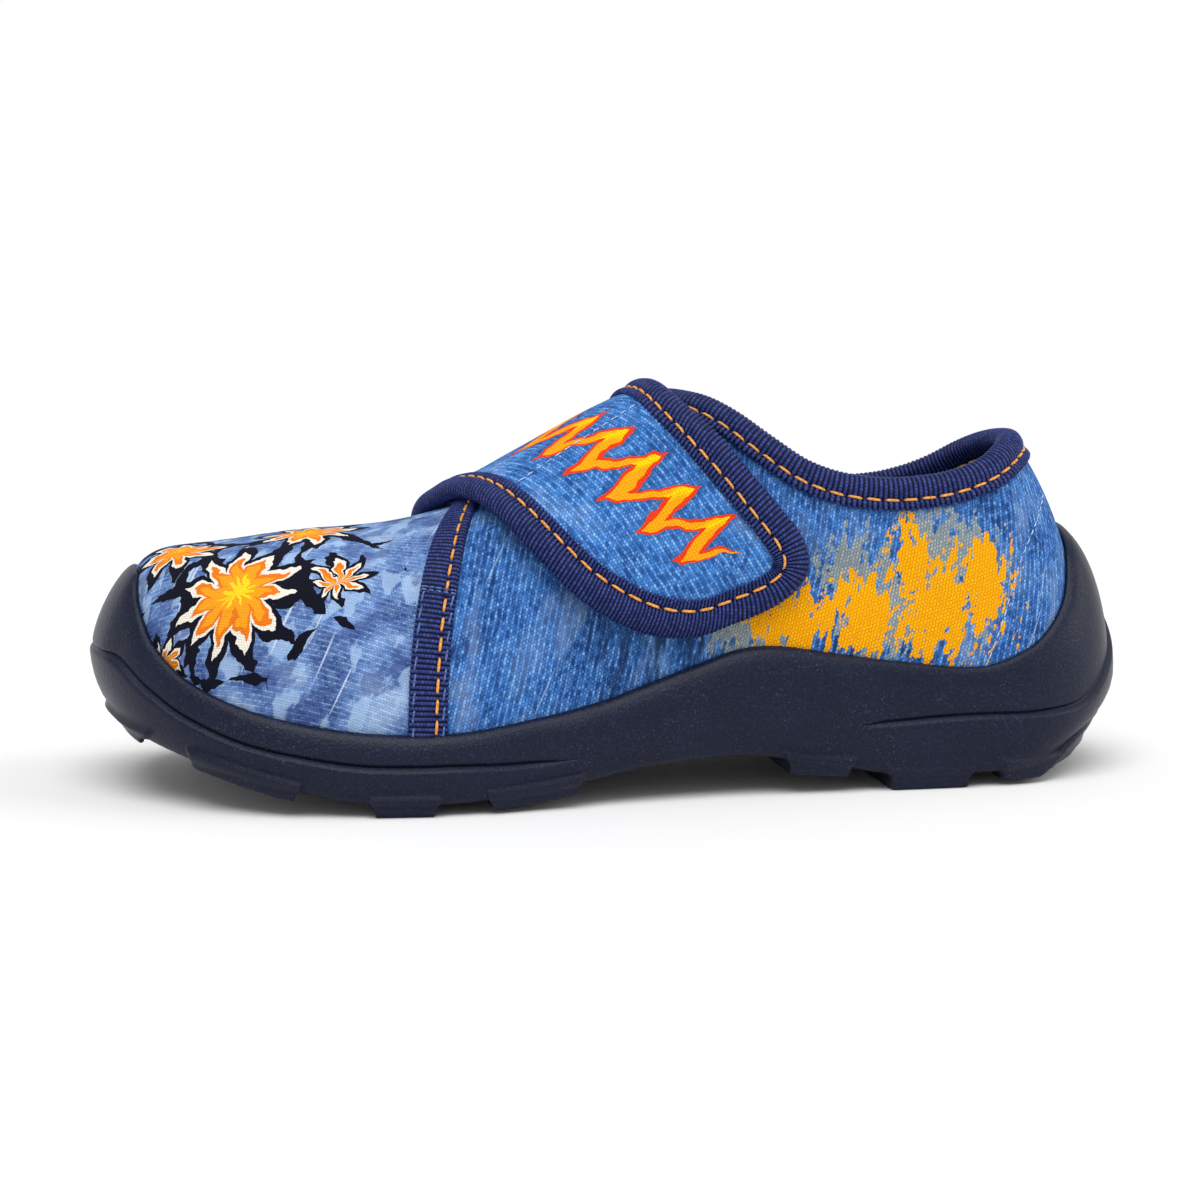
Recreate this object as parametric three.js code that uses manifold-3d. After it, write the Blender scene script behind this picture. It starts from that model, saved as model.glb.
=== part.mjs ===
// A child's textile house slipper for the left foot, EU size 29: a moulded cup sole, a closed upper of printed
// canvas, ribbed tape round its collar and over its two side seams, a loose insole, and a strap over the instep.
// Millimetres. +X points to the toe, +Y to the outer side of the foot, +Z up. The floor is z = 0.
import * as THREE from "three";
import { mergeVertices } from "three/addons/utils/BufferGeometryUtils.js";
import Module from "manifold-3d";

const wasm = await Module();
wasm.setup();

// Driving sizes of the last, the closed form that the upper is drawn over
const UPPER_LENGTH = 183; // outside of the upper, heel to toe
const BALL_WIDTH = 68; // outside of the upper at the ball
const HEEL_WIDTH = 51; // outside of the upper at the heel
const TOE_CAP_LENGTH = 45.5; // where the plan outline starts to close round the toes
const HEEL_CAP_LENGTH = 28.5; // where it starts to close round the heel
const CAP_ROUNDNESS = 2.2; // exponent of both rounded ends, 2 is an ellipse
const TOE_FAN_LENGTH = 33.5; // the ribs of the toe fan out over this length
const HEEL_FAN_LENGTH = 80.5; // and those of the heel over this one
const HEEL_SEAT = 13; // height of the inside of the sole under the heel
const INSTEP_HEIGHT = 77; // height of the last's top over the ankle

// Driving sizes of the pieces
const CLEARANCE = 0.3; // between pieces that touch
const WALL = 2; // canvas, foam and lining of the upper
const INSOLE_THICKNESS = 3;
const TAPE_THICKNESS = 0.7;
const TAPE_WIDTH = 5; // how far the collar tape reaches down the canvas
const COLLAR_TILT = 0.06; // rise of the collar's edge to the outer side, per width
const SEAM_TAPE_WIDTH = 6.8; // at the sole
const STRAP_THICKNESS = 1.4;
const STRAP_TAPE_WIDTH = 5.4;
const STRAP_WIDTH = 30.6; // of its free end
const STRAP_CENTRE = 0.573; // where its centre crosses the ridge, a share of the upper's length
const RIDGE_SLOPE = THREE.MathUtils.degToRad(28); // the ridge's slope under the strap
const RIM_LIP = 0.9; // thickness of the sole's wall at its top edge
const OVERHANG = 4.3; // how far the sole's wall stands out past the upper at the ball
const LEDGE = 0.9; // the lower band of the sole's side stands out by this, toe and heel
const BEVEL_WIDTH = 8; // of the edge under the heel that rises
const BEVEL_HOLD = 13; // the more, the less the lugs grow down where the edge is bevelled
const LUG_PROUD = 0.8; // the ends of the lugs stand out of the side by this
const LUG_FACE = 3.6; // height of a lug's end face
const LUG_SLOPE = 1.1; // how far each lug narrows to its tread

// Fineness of the faces
const STATIONS = 64; // ribs round the last
const ROWS = 11; // rows from the sole to the ridge
const BAND_RINGS = [0, 0.12, 0.45, 0.8]; // rings of the sole's side below the ledge, as shares of that band
const ROLL_RINGS = [0, 0.3, 0.58, 0.8, 0.94, 1]; // and above it
const BED_STEPS = 40; // along the insole
const RIM_STEPS = 16; // along the sole's rim where a piece is cut off on it
const TREAD_STEPS = 8; // along a lug
const RIB_STEPS = 48; // down a rib, where the strap is laid on it
const STRAP_ROWS = 13; // from the strap's sewn end to its free end
const END_ROWS = 9; // from there to its tip
const STRAP_COLUMNS = 5; // across the strap between its tapes

// The last along its length: at is a share of the upper's length from the heel. spread goes from heel width to ball
// width. swing is the centre line's shift to the outer side in ball widths. bed is the inside of the sole and under the
// underside of its body, in heel seats.
const LENGTH_TABLE = [
  { at: -0.045, spread: 0, swing: 0, bed: 1, under: 1.05 },
  { at: -0.01, spread: 0, swing: 0, bed: 1, under: 0.6 },
  { at: 0.04, spread: 0, swing: 0, bed: 1, under: 0.38 },
  { at: 0.15, spread: 0, swing: 0, bed: 1, under: 0.19 },
  { at: 0.23, spread: 0, swing: 0, bed: 1, under: 0.2 },
  { at: 0.32, spread: 0.02, swing: 0, bed: 1, under: 0.41 },
  { at: 0.4, spread: 0.08, swing: 0, bed: 0.98, under: 0.56 },
  { at: 0.49, spread: 0.28, swing: 0.008, bed: 0.89, under: 0.49 },
  { at: 0.6, spread: 0.68, swing: 0.012, bed: 0.71, under: 0.24 },
  { at: 0.7, spread: 1, swing: 0.007, bed: 0.63, under: 0.15 },
  { at: 0.76, spread: 1, swing: -0.004, bed: 0.65, under: 0.16 },
  { at: 0.85, spread: 0.99, swing: -0.03, bed: 0.78, under: 0.38 },
  { at: 0.93, spread: 0.97, swing: -0.065, bed: 1.03, under: 0.66 },
  { at: 1.0, spread: 0.95, swing: -0.105, bed: 1.36, under: 1.05 },
  { at: 1.03, spread: 0.95, swing: -0.12, bed: 1.5, under: 1.5 },
];

// The last's ridge: at as above, top is its height in instep heights, and full is the exponent of the section there,
// 2 for an ellipse and more for a squarer one.
const RIDGE_TABLE = [
  { at: 0, top: 0.99, full: 2.06 },
  { at: 0.1, top: 1, full: 2.18 },
  { at: 0.22, top: 1, full: 2.25 },
  { at: 0.34, top: 0.995, full: 2.2 },
  { at: 0.4, top: 0.968, full: 2.2 },
  { at: 0.445, top: 0.917, full: 2.2 },
  { at: 0.513, top: 0.844, full: 2.2 },
  { at: 0.596, top: 0.738, full: 2.22 },
  { at: 0.637, top: 0.686, full: 2.25 },
  { at: 0.68, top: 0.648, full: 2.3 },
  { at: 0.74, top: 0.619, full: 2.4 },
  { at: 0.82, top: 0.603, full: 2.55 },
  { at: 0.91, top: 0.568, full: 2.9 },
  { at: 1.0, top: 0.53, full: 3.6 },
];

// The sole's side, round the foot: turn is 0 at the toe tip and 1 at the back of the heel. rim is the height of the
// wall's top, as a share of the last's rib from its foot to the ridge. step is the height of the ledge's top, as a
// share of the wall, and ledge how much of the ledge is there. over is the wall's overhang at its widest and foot that
// of its bottom edge, in overhangs. belly is where it is widest, from bottom to top, and curve the exponent of the wall
// above that. bevel is how far the edge of the underside rises, in heel seats.
const SIDE_TABLE = [
  { turn: 0, rim: 0.859, step: 0.458, ledge: 0.6, over: 1.3, foot: -0.2, belly: 0.48, curve: 1.35, bevel: 0 },
  { turn: 0.05, rim: 0.832, step: 0.475, ledge: 0.7, over: 1.26, foot: -0.1, belly: 0.48, curve: 1.35, bevel: 0 },
  { turn: 0.085, rim: 0.642, step: 0.57, ledge: 1, over: 1.18, foot: 0.1, belly: 0.48, curve: 1.4, bevel: 0 },
  { turn: 0.12, rim: 0.428, step: 0.59, ledge: 1, over: 1.12, foot: 0.3, belly: 0.5, curve: 1.5, bevel: 0 },
  { turn: 0.17, rim: 0.274, step: 0.55, ledge: 1, over: 1.05, foot: 0.45, belly: 0.5, curve: 1.6, bevel: 0 },
  { turn: 0.23, rim: 0.198, step: 0.5, ledge: 1, over: 1, foot: 0.55, belly: 0.5, curve: 1.7, bevel: 0 },
  { turn: 0.3, rim: 0.156, step: 0.535, ledge: 1, over: 1, foot: 0.6, belly: 0.5, curve: 1.8, bevel: 0 },
  { turn: 0.37, rim: 0.138, step: 0.555, ledge: 1, over: 1, foot: 0.62, belly: 0.5, curve: 1.8, bevel: 0 },
  { turn: 0.42, rim: 0.142, step: 0.45, ledge: 0.9, over: 1, foot: 0.62, belly: 0.45, curve: 1.8, bevel: 0 },
  { turn: 0.47, rim: 0.148, step: 0.34, ledge: 0, over: 1.02, foot: 0.62, belly: 0.38, curve: 1.8, bevel: 0 },
  { turn: 0.53, rim: 0.192, step: 0.255, ledge: 0, over: 1.05, foot: 0.6, belly: 0.32, curve: 1.8, bevel: 0 },
  { turn: 0.575, rim: 0.222, step: 0.25, ledge: 0, over: 1.05, foot: 0.6, belly: 0.3, curve: 1.8, bevel: 0 },
  { turn: 0.63, rim: 0.189, step: 0.355, ledge: 0, over: 1.03, foot: 0.6, belly: 0.35, curve: 1.8, bevel: 0 },
  { turn: 0.67, rim: 0.164, step: 0.475, ledge: 0.9, over: 1.02, foot: 0.6, belly: 0.38, curve: 1.8, bevel: 0 },
  { turn: 0.74, rim: 0.138, step: 0.56, ledge: 1, over: 1.03, foot: 0.6, belly: 0.38, curve: 1.8, bevel: 0 },
  { turn: 0.8, rim: 0.185, step: 0.44, ledge: 1, over: 1.1, foot: 0.55, belly: 0.36, curve: 1.75, bevel: 0.08 },
  { turn: 0.86, rim: 0.293, step: 0.285, ledge: 1, over: 1.22, foot: 0.48, belly: 0.3, curve: 1.7, bevel: 0.28 },
  { turn: 0.92, rim: 0.444, step: 0.335, ledge: 1, over: 1.36, foot: 0.4, belly: 0.25, curve: 1.7, bevel: 0.38 },
  { turn: 1, rim: 0.516, step: 0.545, ledge: 1, over: 1.5, foot: 0.3, belly: 0.2, curve: 1.7, bevel: 0.36 },
];

// The canvas edge of the collar seen from the side, from the throat to past the heel: at a share of the upper's
// length, rise in instep heights.
const COLLAR_TABLE = [
  { at: 0.485, rise: 1.08 },
  { at: 0.468, rise: 1.0 },
  { at: 0.456, rise: 0.955 },
  { at: 0.44, rise: 0.93 },
  { at: 0.416, rise: 0.912 },
  { at: 0.391, rise: 0.878 },
  { at: 0.355, rise: 0.811 },
  { at: 0.316, rise: 0.748 },
  { at: 0.276, rise: 0.718 },
  { at: 0.234, rise: 0.708 },
  { at: 0.191, rise: 0.715 },
  { at: 0.157, rise: 0.733 },
  { at: 0.128, rise: 0.761 },
  { at: 0.104, rise: 0.797 },
  { at: 0.082, rise: 0.824 },
  { at: 0.055, rise: 0.84 },
  { at: -0.03, rise: 0.852 },
];

// The side seams' tape seen from the side, from the sole up to under the strap: at and rise of its middle as above,
// half its width in tape widths.
const SEAM_TABLE = [
  { at: 0.713, rise: 0.1, half: 0.5 },
  { at: 0.709, rise: 0.29, half: 0.5 },
  { at: 0.703, rise: 0.405, half: 0.485 },
  { at: 0.692, rise: 0.516, half: 0.47 },
  { at: 0.679, rise: 0.594, half: 0.44 },
  { at: 0.664, rise: 0.645, half: 0.41 },
  { at: 0.644, rise: 0.683, half: 0.397 },
  { at: 0.615, rise: 0.73, half: 0.397 },
];

// The lugs across the sole: rear and front are shares of the upper's length, and the three heights of the tread, at
// rear, middle and front, are in heel seats. The ball's and the heel's lugs are flat on the floor.
const LUG_TABLE = [
  { rear: -0.05, front: 0.136, low: [0.95, 0.2, 0.11] },
  { rear: 0.158, front: 0.253, low: [0, 0, 0] },
  { rear: 0.281, front: 0.358, low: [0.21, 0.24, 0.3] },
  { rear: 0.557, front: 0.66, low: [0.2, 0.1, 0.045] },
  { rear: 0.698, front: 0.772, low: [0, 0, 0] },
  { rear: 0.829, front: 0.939, low: [0.17, 0.36, 0.6] },
  { rear: 0.969, front: 1.05, low: [0.72, 1.02, 1.7] },
];

// The strap laid out flat: drop is the distance down the last's ribs from the ridge, to the outer side, as a share of
// the way from the ridge to the sole. rear and front are its edges, along the ridge from its centre, in strap widths.
const STRAP_TABLE = [
  { drop: -0.97, rear: -0.56, front: 0.62 },
  { drop: -0.77, rear: -0.6, front: 0.66 },
  { drop: -0.6, rear: -0.645, front: 0.685 },
  { drop: -0.47, rear: -0.68, front: 0.735 },
  { drop: -0.3, rear: -0.735, front: 0.8 },
  { drop: -0.15, rear: -0.77, front: 0.77 },
  { drop: -0.07, rear: -0.785, front: 0.72 },
  { drop: 0, rear: -0.8, front: 0.65 },
  { drop: 0.15, rear: -0.87, front: 0.485 },
  { drop: 0.28, rear: -1.02, front: 0.35 },
  { drop: 0.42, rear: -1.2, front: 0.185 },
  { drop: 0.56, rear: -1.4, front: -0.02 },
];

// Its free end laid out the same way, from the front edge round to the rear edge.
const FREE_END = [
  { along: -0.15, drop: 0.625 },
  { along: -0.3, drop: 0.685 },
  { along: -0.45, drop: 0.735 },
  { along: -0.63, drop: 0.78 },
  { along: -0.83, drop: 0.812 },
  { along: -1.03, drop: 0.828 },
  { along: -1.22, drop: 0.825 },
  { along: -1.39, drop: 0.806 },
  { along: -1.51, drop: 0.771 },
  { along: -1.56, drop: 0.715 },
  { along: -1.53, drop: 0.655 },
  { along: -1.475, drop: 0.61 },
];
const SEATED_OUTER = [0.67, 0.82]; // the drops between which the strap comes down off the tapes below it
const SEATED_INNER = [0.46, 0.6];

const HEEL_X = -UPPER_LENGTH / 2;
const TOE_X = HEEL_X + UPPER_LENGTH;
const WIDE = BALL_WIDTH * 2; // more than half the width of anything cut
const TALL = INSTEP_HEIGHT * 2; // higher than anything cut

// A column of a table as a smooth curve through its rows that never overshoots them.
function curveOf(table, key, column) {
  const rows = [...table].sort((a, b) => a[key] - b[key]);
  const x = rows.map((r) => r[key]);
  const y = rows.map((r) => r[column]);
  const slope = x.slice(1).map((v, i) => (y[i + 1] - y[i]) / (v - x[i]));
  const bend = x.map((_, i) => {
    if (i === 0 || i === x.length - 1) return slope[Math.min(i, slope.length - 1)];
    const [a, b] = [slope[i - 1], slope[i]];
    return a * b <= 0 ? 0 : (2 * a * b) / (a + b);
  });
  return (v) => {
    const at = THREE.MathUtils.clamp(v, x[0], x[x.length - 1]);
    const i = Math.min(x.length - 2, Math.max(0, x.findIndex((e) => e >= at) - 1));
    const h = x[i + 1] - x[i];
    const t = (at - x[i]) / h;
    const rise = y[i] * (1 + 2 * t) * (1 - t) ** 2 + y[i + 1] * t * t * (3 - 2 * t);
    return rise + h * (bend[i] * t * (1 - t) ** 2 - bend[i + 1] * t * t * (1 - t));
  };
}

const share = (x) => (x - HEEL_X) / UPPER_LENGTH;
const place = (at) => HEEL_X + at * UPPER_LENGTH;
const lengthCurve = (column) => curveOf(LENGTH_TABLE, "at", column);
const sideCurve = (column) => curveOf(SIDE_TABLE, "turn", column);

const spread = lengthCurve("spread");
const swing = lengthCurve("swing");
const bedShare = lengthCurve("bed");
const underShare = lengthCurve("under");
const topShare = curveOf(RIDGE_TABLE, "at", "top");
const fullness = curveOf(RIDGE_TABLE, "at", "full");
const side = Object.fromEntries(
  ["rim", "step", "ledge", "over", "foot", "belly", "curve", "bevel"].map((c) => [c, sideCurve(c)]),
);

const bedHeight = (x) => HEEL_SEAT * bedShare(share(x));
const underHeight = (x) => HEEL_SEAT * underShare(share(x));
const centreLine = (x) => BALL_WIDTH * swing(share(x));

// Half the width of the upper's plan outline at x, closed by a rounded cap at each end.
function halfWidth(x) {
  const open = (HEEL_WIDTH + (BALL_WIDTH - HEEL_WIDTH) * spread(share(x))) / 2;
  const toe = (x - (TOE_X - TOE_CAP_LENGTH)) / TOE_CAP_LENGTH;
  const heel = (HEEL_X + HEEL_CAP_LENGTH - x) / HEEL_CAP_LENGTH;
  const into = THREE.MathUtils.clamp(Math.max(toe, heel, 0), 0, 1);
  return open * (1 - into ** CAP_ROUNDNESS) ** (1 / CAP_ROUNDNESS);
}

// The place on the ridge that the rib from outline position x runs up to. At the ends the ribs fan out.
function ridgePlace(x) {
  const toe = (x - (TOE_X - TOE_FAN_LENGTH)) / TOE_FAN_LENGTH;
  const heel = (HEEL_X + HEEL_FAN_LENGTH - x) / HEEL_FAN_LENGTH;
  if (toe > 0) return TOE_X - TOE_FAN_LENGTH * (1 - toe + (toe * toe) / 2);
  if (heel > 0) return HEEL_X + HEEL_FAN_LENGTH * (1 - heel + (heel * heel) / 2);
  return x;
}

// One rib of the last: from its foot on the plan outline, in the direction out, up to its head on the ridge.
function rib(x, outward) {
  const foot = new THREE.Vector2(x, centreLine(x) + outward * halfWidth(x));
  const headX = ridgePlace(x);
  const head = new THREE.Vector2(headX, centreLine(headX));
  const out = foot.clone().sub(head);
  return {
    head,
    reach: out.length(),
    out: out.normalize(),
    low: bedHeight(x),
    high: INSTEP_HEIGHT * topShare(share(headX)),
    full: fullness(share(x)),
  };
}

// A point of a rib: climb is 0 at its foot and 1 at the ridge.
function ribPoint(r, climb) {
  const angle = (climb * Math.PI) / 2;
  const up = Math.sin(angle) ** (2 / r.full);
  const far = climb === 1 ? 0 : r.reach * Math.max(Math.cos(angle), 0) ** (2 / r.full);
  return new THREE.Vector3(r.head.x + r.out.x * far, r.head.y + r.out.y * far, r.low + (r.high - r.low) * up);
}

// How far the last stands out along a rib at a height, from the rib's foot: 0 there and less above it.
function reachAt(r, z) {
  const up = THREE.MathUtils.clamp((z - r.low) / (r.high - r.low), 0, 1);
  return r.reach * ((1 - up ** r.full) ** (1 / r.full) - 1);
}

// The stations round the outline: from the toe tip along the outer side to the heel, and back along the inner side.
const stations = Array.from({ length: STATIONS }, (_, i) => {
  const turn = i <= STATIONS / 2 ? (2 * i) / STATIONS : 2 - (2 * i) / STATIONS;
  const x = (HEEL_X + TOE_X) / 2 + (UPPER_LENGTH / 2) * Math.cos(Math.PI * turn);
  return { turn, rib: rib(x, i <= STATIONS / 2 ? 1 : -1) };
});

// A solid from points and triangles. Points in the same place become one.
function solid(positions, indices) {
  const kept = new Map();
  const numbers = positions.map((p) => {
    const key = `${p.x.toFixed(4)} ${p.y.toFixed(4)} ${p.z.toFixed(4)}`;
    if (!kept.has(key)) kept.set(key, { number: kept.size, p });
    return kept.get(key).number;
  });
  const triangles = [];
  for (let i = 0; i < indices.length; i += 3) {
    const [a, b, c] = [0, 1, 2].map((k) => numbers[indices[i + k]]);
    if (a !== b && b !== c && a !== c) triangles.push(a, b, c);
  }
  return new wasm.Manifold(
    new wasm.Mesh({
      numProp: 3,
      vertProperties: new Float32Array([...kept.values()].flatMap(({ p }) => [p.x, p.y, p.z])),
      triVerts: new Uint32Array(triangles),
    }),
  );
}

// The same, with its faces turned outward.
function facingOut(points, faces) {
  const made = solid(points, faces);
  return made.volume() > 0 ? made : solid(points, [...faces].reverse());
}

const geometryOf = (made) => {
  const mesh = made.getMesh();
  const geometry = new THREE.BufferGeometry();
  geometry.setAttribute("position", new THREE.BufferAttribute(new Float32Array(mesh.vertProperties), 3));
  geometry.setIndex(new THREE.BufferAttribute(new Uint32Array(mesh.triVerts), 1));
  geometry.computeVertexNormals();
  return geometry;
};

// The faces of a stack of rings, and of the strips that close its first and its last ring, as vertex indices.
function ringFaces(rows, index, closeTop) {
  const faces = [];
  const triangle = (a, b, c) => {
    if (a !== b && b !== c && a !== c) faces.push(a, b, c);
  };
  for (let j = 0; j < rows; j++)
    for (let i = 0; i < STATIONS; i++) {
      const [a, b, c, d] = [index(j, i), index(j, i + 1), index(j + 1, i + 1), index(j + 1, i)];
      triangle(a, b, c);
      triangle(a, c, d);
    }
  for (let i = 0; i < STATIONS / 2; i++) {
    const strip = (j) => [index(j, i), index(j, i + 1), index(j, STATIONS - i - 1), index(j, STATIONS - i)];
    const [a, b, c, d] = strip(0);
    triangle(a, c, b);
    triangle(a, d, c);
    if (!closeTop) continue;
    const [e, f, g, h] = strip(rows);
    triangle(e, f, g);
    triangle(e, g, h);
  }
  return faces;
}

// The last's grid. The ribs of both sides share their points on the ridge.
const ridgeStart = ROWS * STATIONS;
const gridIndex = (j, i) => {
  const at = i % STATIONS;
  return j < ROWS ? j * STATIONS + at : ridgeStart + Math.min(at, STATIONS - at);
};
const gridPoints = [];
for (let j = 0; j < ROWS; j++) stations.forEach((s) => gridPoints.push(ribPoint(s.rib, j / ROWS)));
for (let i = 0; i <= STATIONS / 2; i++) gridPoints.push(ribPoint(stations[i].rib, 1));
const gridFaces = ringFaces(ROWS, gridIndex, false);
const floorFaces = STATIONS - 2; // the last triangles, which close the floor
const gridNormals = (() => {
  const open = new THREE.BufferGeometry().setFromPoints(gridPoints);
  open.setIndex(gridFaces.slice(0, gridFaces.length - 3 * floorFaces));
  open.computeVertexNormals();
  const n = open.getAttribute("normal");
  return gridPoints.map((_, i) => new THREE.Vector3().fromBufferAttribute(n, i));
})();

// The last grown by a distance, as a solid, with its floor lowered.
function form(grow, lower = 0) {
  const points = gridPoints.map((p, i) => {
    const moved = p.clone().addScaledVector(gridNormals[i], grow);
    if (i < STATIONS) moved.z = p.z - lower;
    return moved;
  });
  return solid(points, gridFaces);
}

// A solid with the given outline in the side view, from one y to another.
function sidePrism(outline, from = -WIDE, to = WIDE) {
  const shape = new THREE.Shape(outline);
  const made = new THREE.ExtrudeGeometry(shape, { depth: to - from, bevelEnabled: false });
  made.rotateX(Math.PI / 2);
  made.translate(0, to, 0);
  made.deleteAttribute("normal");
  made.deleteAttribute("uv");
  const merged = mergeVertices(made, 1e-4);
  const p = merged.getAttribute("position");
  const points = Array.from({ length: p.count }, (_, i) => new THREE.Vector3().fromBufferAttribute(p, i));
  return solid(points, merged.index.array);
}

// The line moved square to itself, to its left.
function shifted(line, by) {
  return line.map((p, i) => {
    const run = line[Math.min(i + 1, line.length - 1)].clone().sub(line[Math.max(i - 1, 0)]).normalize();
    const far = Array.isArray(by) ? by[i] : by;
    return new THREE.Vector2(p.x - run.y * far, p.y + run.x * far);
  });
}

// Points of a height over x, seen from the side.
const sideLine = (from, to, height, steps) =>
  Array.from({ length: steps + 1 }, (_, i) => {
    const x = from + ((to - from) * i) / steps;
    return new THREE.Vector2(x, height(x));
  });

// What lies below the canvas edge of the collar, once that is moved up square to itself. It rises to the outer side.
const collarLine = COLLAR_TABLE.map((r) => new THREE.Vector2(place(r.at), r.rise * INSTEP_HEIGHT));
const collarShear = new THREE.Matrix4().makeShear(0, 0, 0, COLLAR_TILT, 0, 0);
function belowCollar(raise) {
  const edge = shifted(collarLine, -raise);
  const [first, last] = [edge[0], edge[edge.length - 1]];
  const level = sidePrism([
    ...edge,
    new THREE.Vector2(-UPPER_LENGTH, last.y),
    new THREE.Vector2(-UPPER_LENGTH, -TALL),
    new THREE.Vector2(UPPER_LENGTH, -TALL),
    new THREE.Vector2(UPPER_LENGTH, TALL),
    new THREE.Vector2(first.x, TALL),
  ]);
  return level.transform(collarShear.elements);
}

// Canvas, foam and lining: one wall, open at the collar and underneath.
function upper() {
  return form(0).subtract(form(-WALL, WALL)).intersect(belowCollar(0));
}

// The ribbed tape folded over the collar's edge: a leg outside, a leg inside and the fold between them.
function collarTape() {
  const past = CLEARANCE + TAPE_THICKNESS;
  const band = belowCollar(past).subtract(belowCollar(-TAPE_WIDTH));
  const sleeve = form(past).subtract(form(-WALL - past, WALL)).intersect(band);
  const canvas = form(CLEARANCE).subtract(form(-WALL - CLEARANCE, WALL)).intersect(belowCollar(CLEARANCE));
  return sleeve.subtract(canvas);
}

// The height of the sole's rim at a rib.
const rimOf = (r, turn) => r.low + (r.high - r.low) * side.rim(turn);

// The same over x, on the outer side.
function rimHeight(x) {
  const turn = Math.acos(THREE.MathUtils.clamp(2 * share(x) - 1, -1, 1)) / Math.PI;
  return rimOf(rib(x, 1), turn);
}

// All that lies below the sole's rim, and a clearance over it, about a place along the foot.
function belowRim(x) {
  const ends = [x - BALL_WIDTH / 2, x + BALL_WIDTH / 2];
  const top = sideLine(...ends, (at) => rimHeight(at) + 2 * CLEARANCE, RIM_STEPS);
  return sidePrism([...top, new THREE.Vector2(ends[1], -TALL), new THREE.Vector2(ends[0], -TALL)]);
}

// The ribbed tape over a side seam, from the sole's rim to under the strap.
function seamTape(outward) {
  const middle = SEAM_TABLE.map((r) => new THREE.Vector2(place(r.at), r.rise * INSTEP_HEIGHT));
  const halves = SEAM_TABLE.map((r) => r.half * SEAM_TAPE_WIDTH);
  const rear = shifted(middle, halves);
  const front = shifted(middle, halves.map((h) => -h)).reverse();
  const strip = outward > 0 ? sidePrism([...rear, ...front], 0, WIDE) : sidePrism([...rear, ...front], -WIDE, 0);
  const cover = form(CLEARANCE + TAPE_THICKNESS).subtract(form(CLEARANCE));
  return cover.intersect(strip).subtract(belowRim(place(SEAM_TABLE[0].at)));
}

// The height of the wall's bottom edge.
const edgeHeight = (s) => underHeight(s.rib.head.x + s.rib.out.x * s.rib.reach) + HEEL_SEAT * side.bevel(s.turn);

// The overhang of the sole's side past the rib's foot, at a height. Below the belly it tucks in to the bottom edge,
// above it it leans in to the rim, and the lower band stands out as a ledge.
function overhang(s, z, grow) {
  const bottom = edgeHeight(s);
  const rim = rimOf(s.rib, s.turn);
  const widest = OVERHANG * side.over(s.turn);
  const lowest = OVERHANG * side.foot(s.turn);
  const belly = bottom + (rim - bottom) * side.belly(s.turn);
  const step = bottom + (rim - bottom) * side.step(s.turn);
  const lip = reachAt(s.rib, rim) + CLEARANCE + RIM_LIP;
  const curve = side.curve(s.turn);
  const inward = z < belly ? (belly - z) / (belly - bottom) : (z - belly) / (rim - belly);
  const power = z < belly ? 2 : curve;
  const bulge = (1 - THREE.MathUtils.clamp(inward, 0, 1) ** power) ** (1 / power);
  const base = z < belly ? lowest : lip;
  const fade = Math.sqrt(THREE.MathUtils.clamp((rim - z) / (rim - step), 0, 1));
  const ledge = z < step ? 0 : LEDGE * side.ledge(s.turn) * fade;
  return base + (widest - base) * bulge - ledge + grow;
}

// The heights of a station's rings: the bottom edge, the band below the ledge, the ledge, the roll above and the rim.
function ringHeights(s) {
  const bottom = edgeHeight(s);
  const rim = rimOf(s.rib, s.turn);
  const step = bottom + (rim - bottom) * side.step(s.turn);
  const below = BAND_RINGS.map((t) => bottom + (step - CLEARANCE - bottom) * t);
  const above = ROLL_RINGS.map((t) => step + CLEARANCE + (rim - step - CLEARANCE) * t);
  return [...below, step - CLEARANCE, ...above];
}

// The sole's outside as a solid that fills the foot's place too, grown sideways and downward. It grows down least
// where its edge is bevelled.
function soleBlock(grow, lower) {
  const columns = stations.map((s) => {
    const heights = ringHeights(s);
    const at = (reach, z) => {
      const far = s.rib.reach + reach;
      return new THREE.Vector3(s.rib.head.x + s.rib.out.x * far, s.rib.head.y + s.rib.out.y * far, z);
    };
    const raised = HEEL_SEAT * side.bevel(s.turn);
    const sunk = lower / (1 + BEVEL_HOLD * side.bevel(s.turn));
    const outside = heights.map((z, k) => at(overhang(s, z, grow), k === 0 ? z - sunk : z));
    const inside = at(overhang(s, heights[0], grow) - BEVEL_WIDTH, heights[0] - raised - lower);
    const rim = heights[heights.length - 1];
    return [inside, ...outside, at(reachAt(s.rib, rim) - 2 * WALL, rim - WALL)];
  });
  const rings = columns[0].length;
  const points = Array.from({ length: rings }, (_, j) => columns.map((c) => c[j])).flat();
  return solid(points, ringFaces(rings - 1, (j, i) => j * STATIONS + (i % STATIONS), true));
}

// The lugs' side view: the tread as a curve through its three heights, and end faces that slope in to it.
function lugPrism(lug) {
  const [rear, front] = [place(lug.rear), place(lug.front)];
  const [low, middle, high] = lug.low.map((h) => h * HEEL_SEAT);
  const tread = (x) => {
    const t = (x - rear) / (front - rear);
    return low * (1 - t) * (1 - 2 * t) + 4 * middle * t * (1 - t) + high * t * (2 * t - 1);
  };
  const bottom = sideLine(rear + LUG_SLOPE, front - LUG_SLOPE, tread, TREAD_STEPS);
  const top = sideLine(rear, front, (x) => tread(x) + LUG_FACE, TREAD_STEPS).reverse();
  return sidePrism([...bottom, ...top]);
}

// The sole: one moulding, a cup with its lugs.
function sole() {
  const grown = soleBlock(LUG_PROUD, HEEL_SEAT / 2);
  const lugs = LUG_TABLE.map((lug) => grown.intersect(lugPrism(lug)));
  const cup = lugs.reduce((sum, lug) => sum.add(lug), soleBlock(0, 0));
  return cup.subtract(form(CLEARANCE, CLEARANCE));
}

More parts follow.
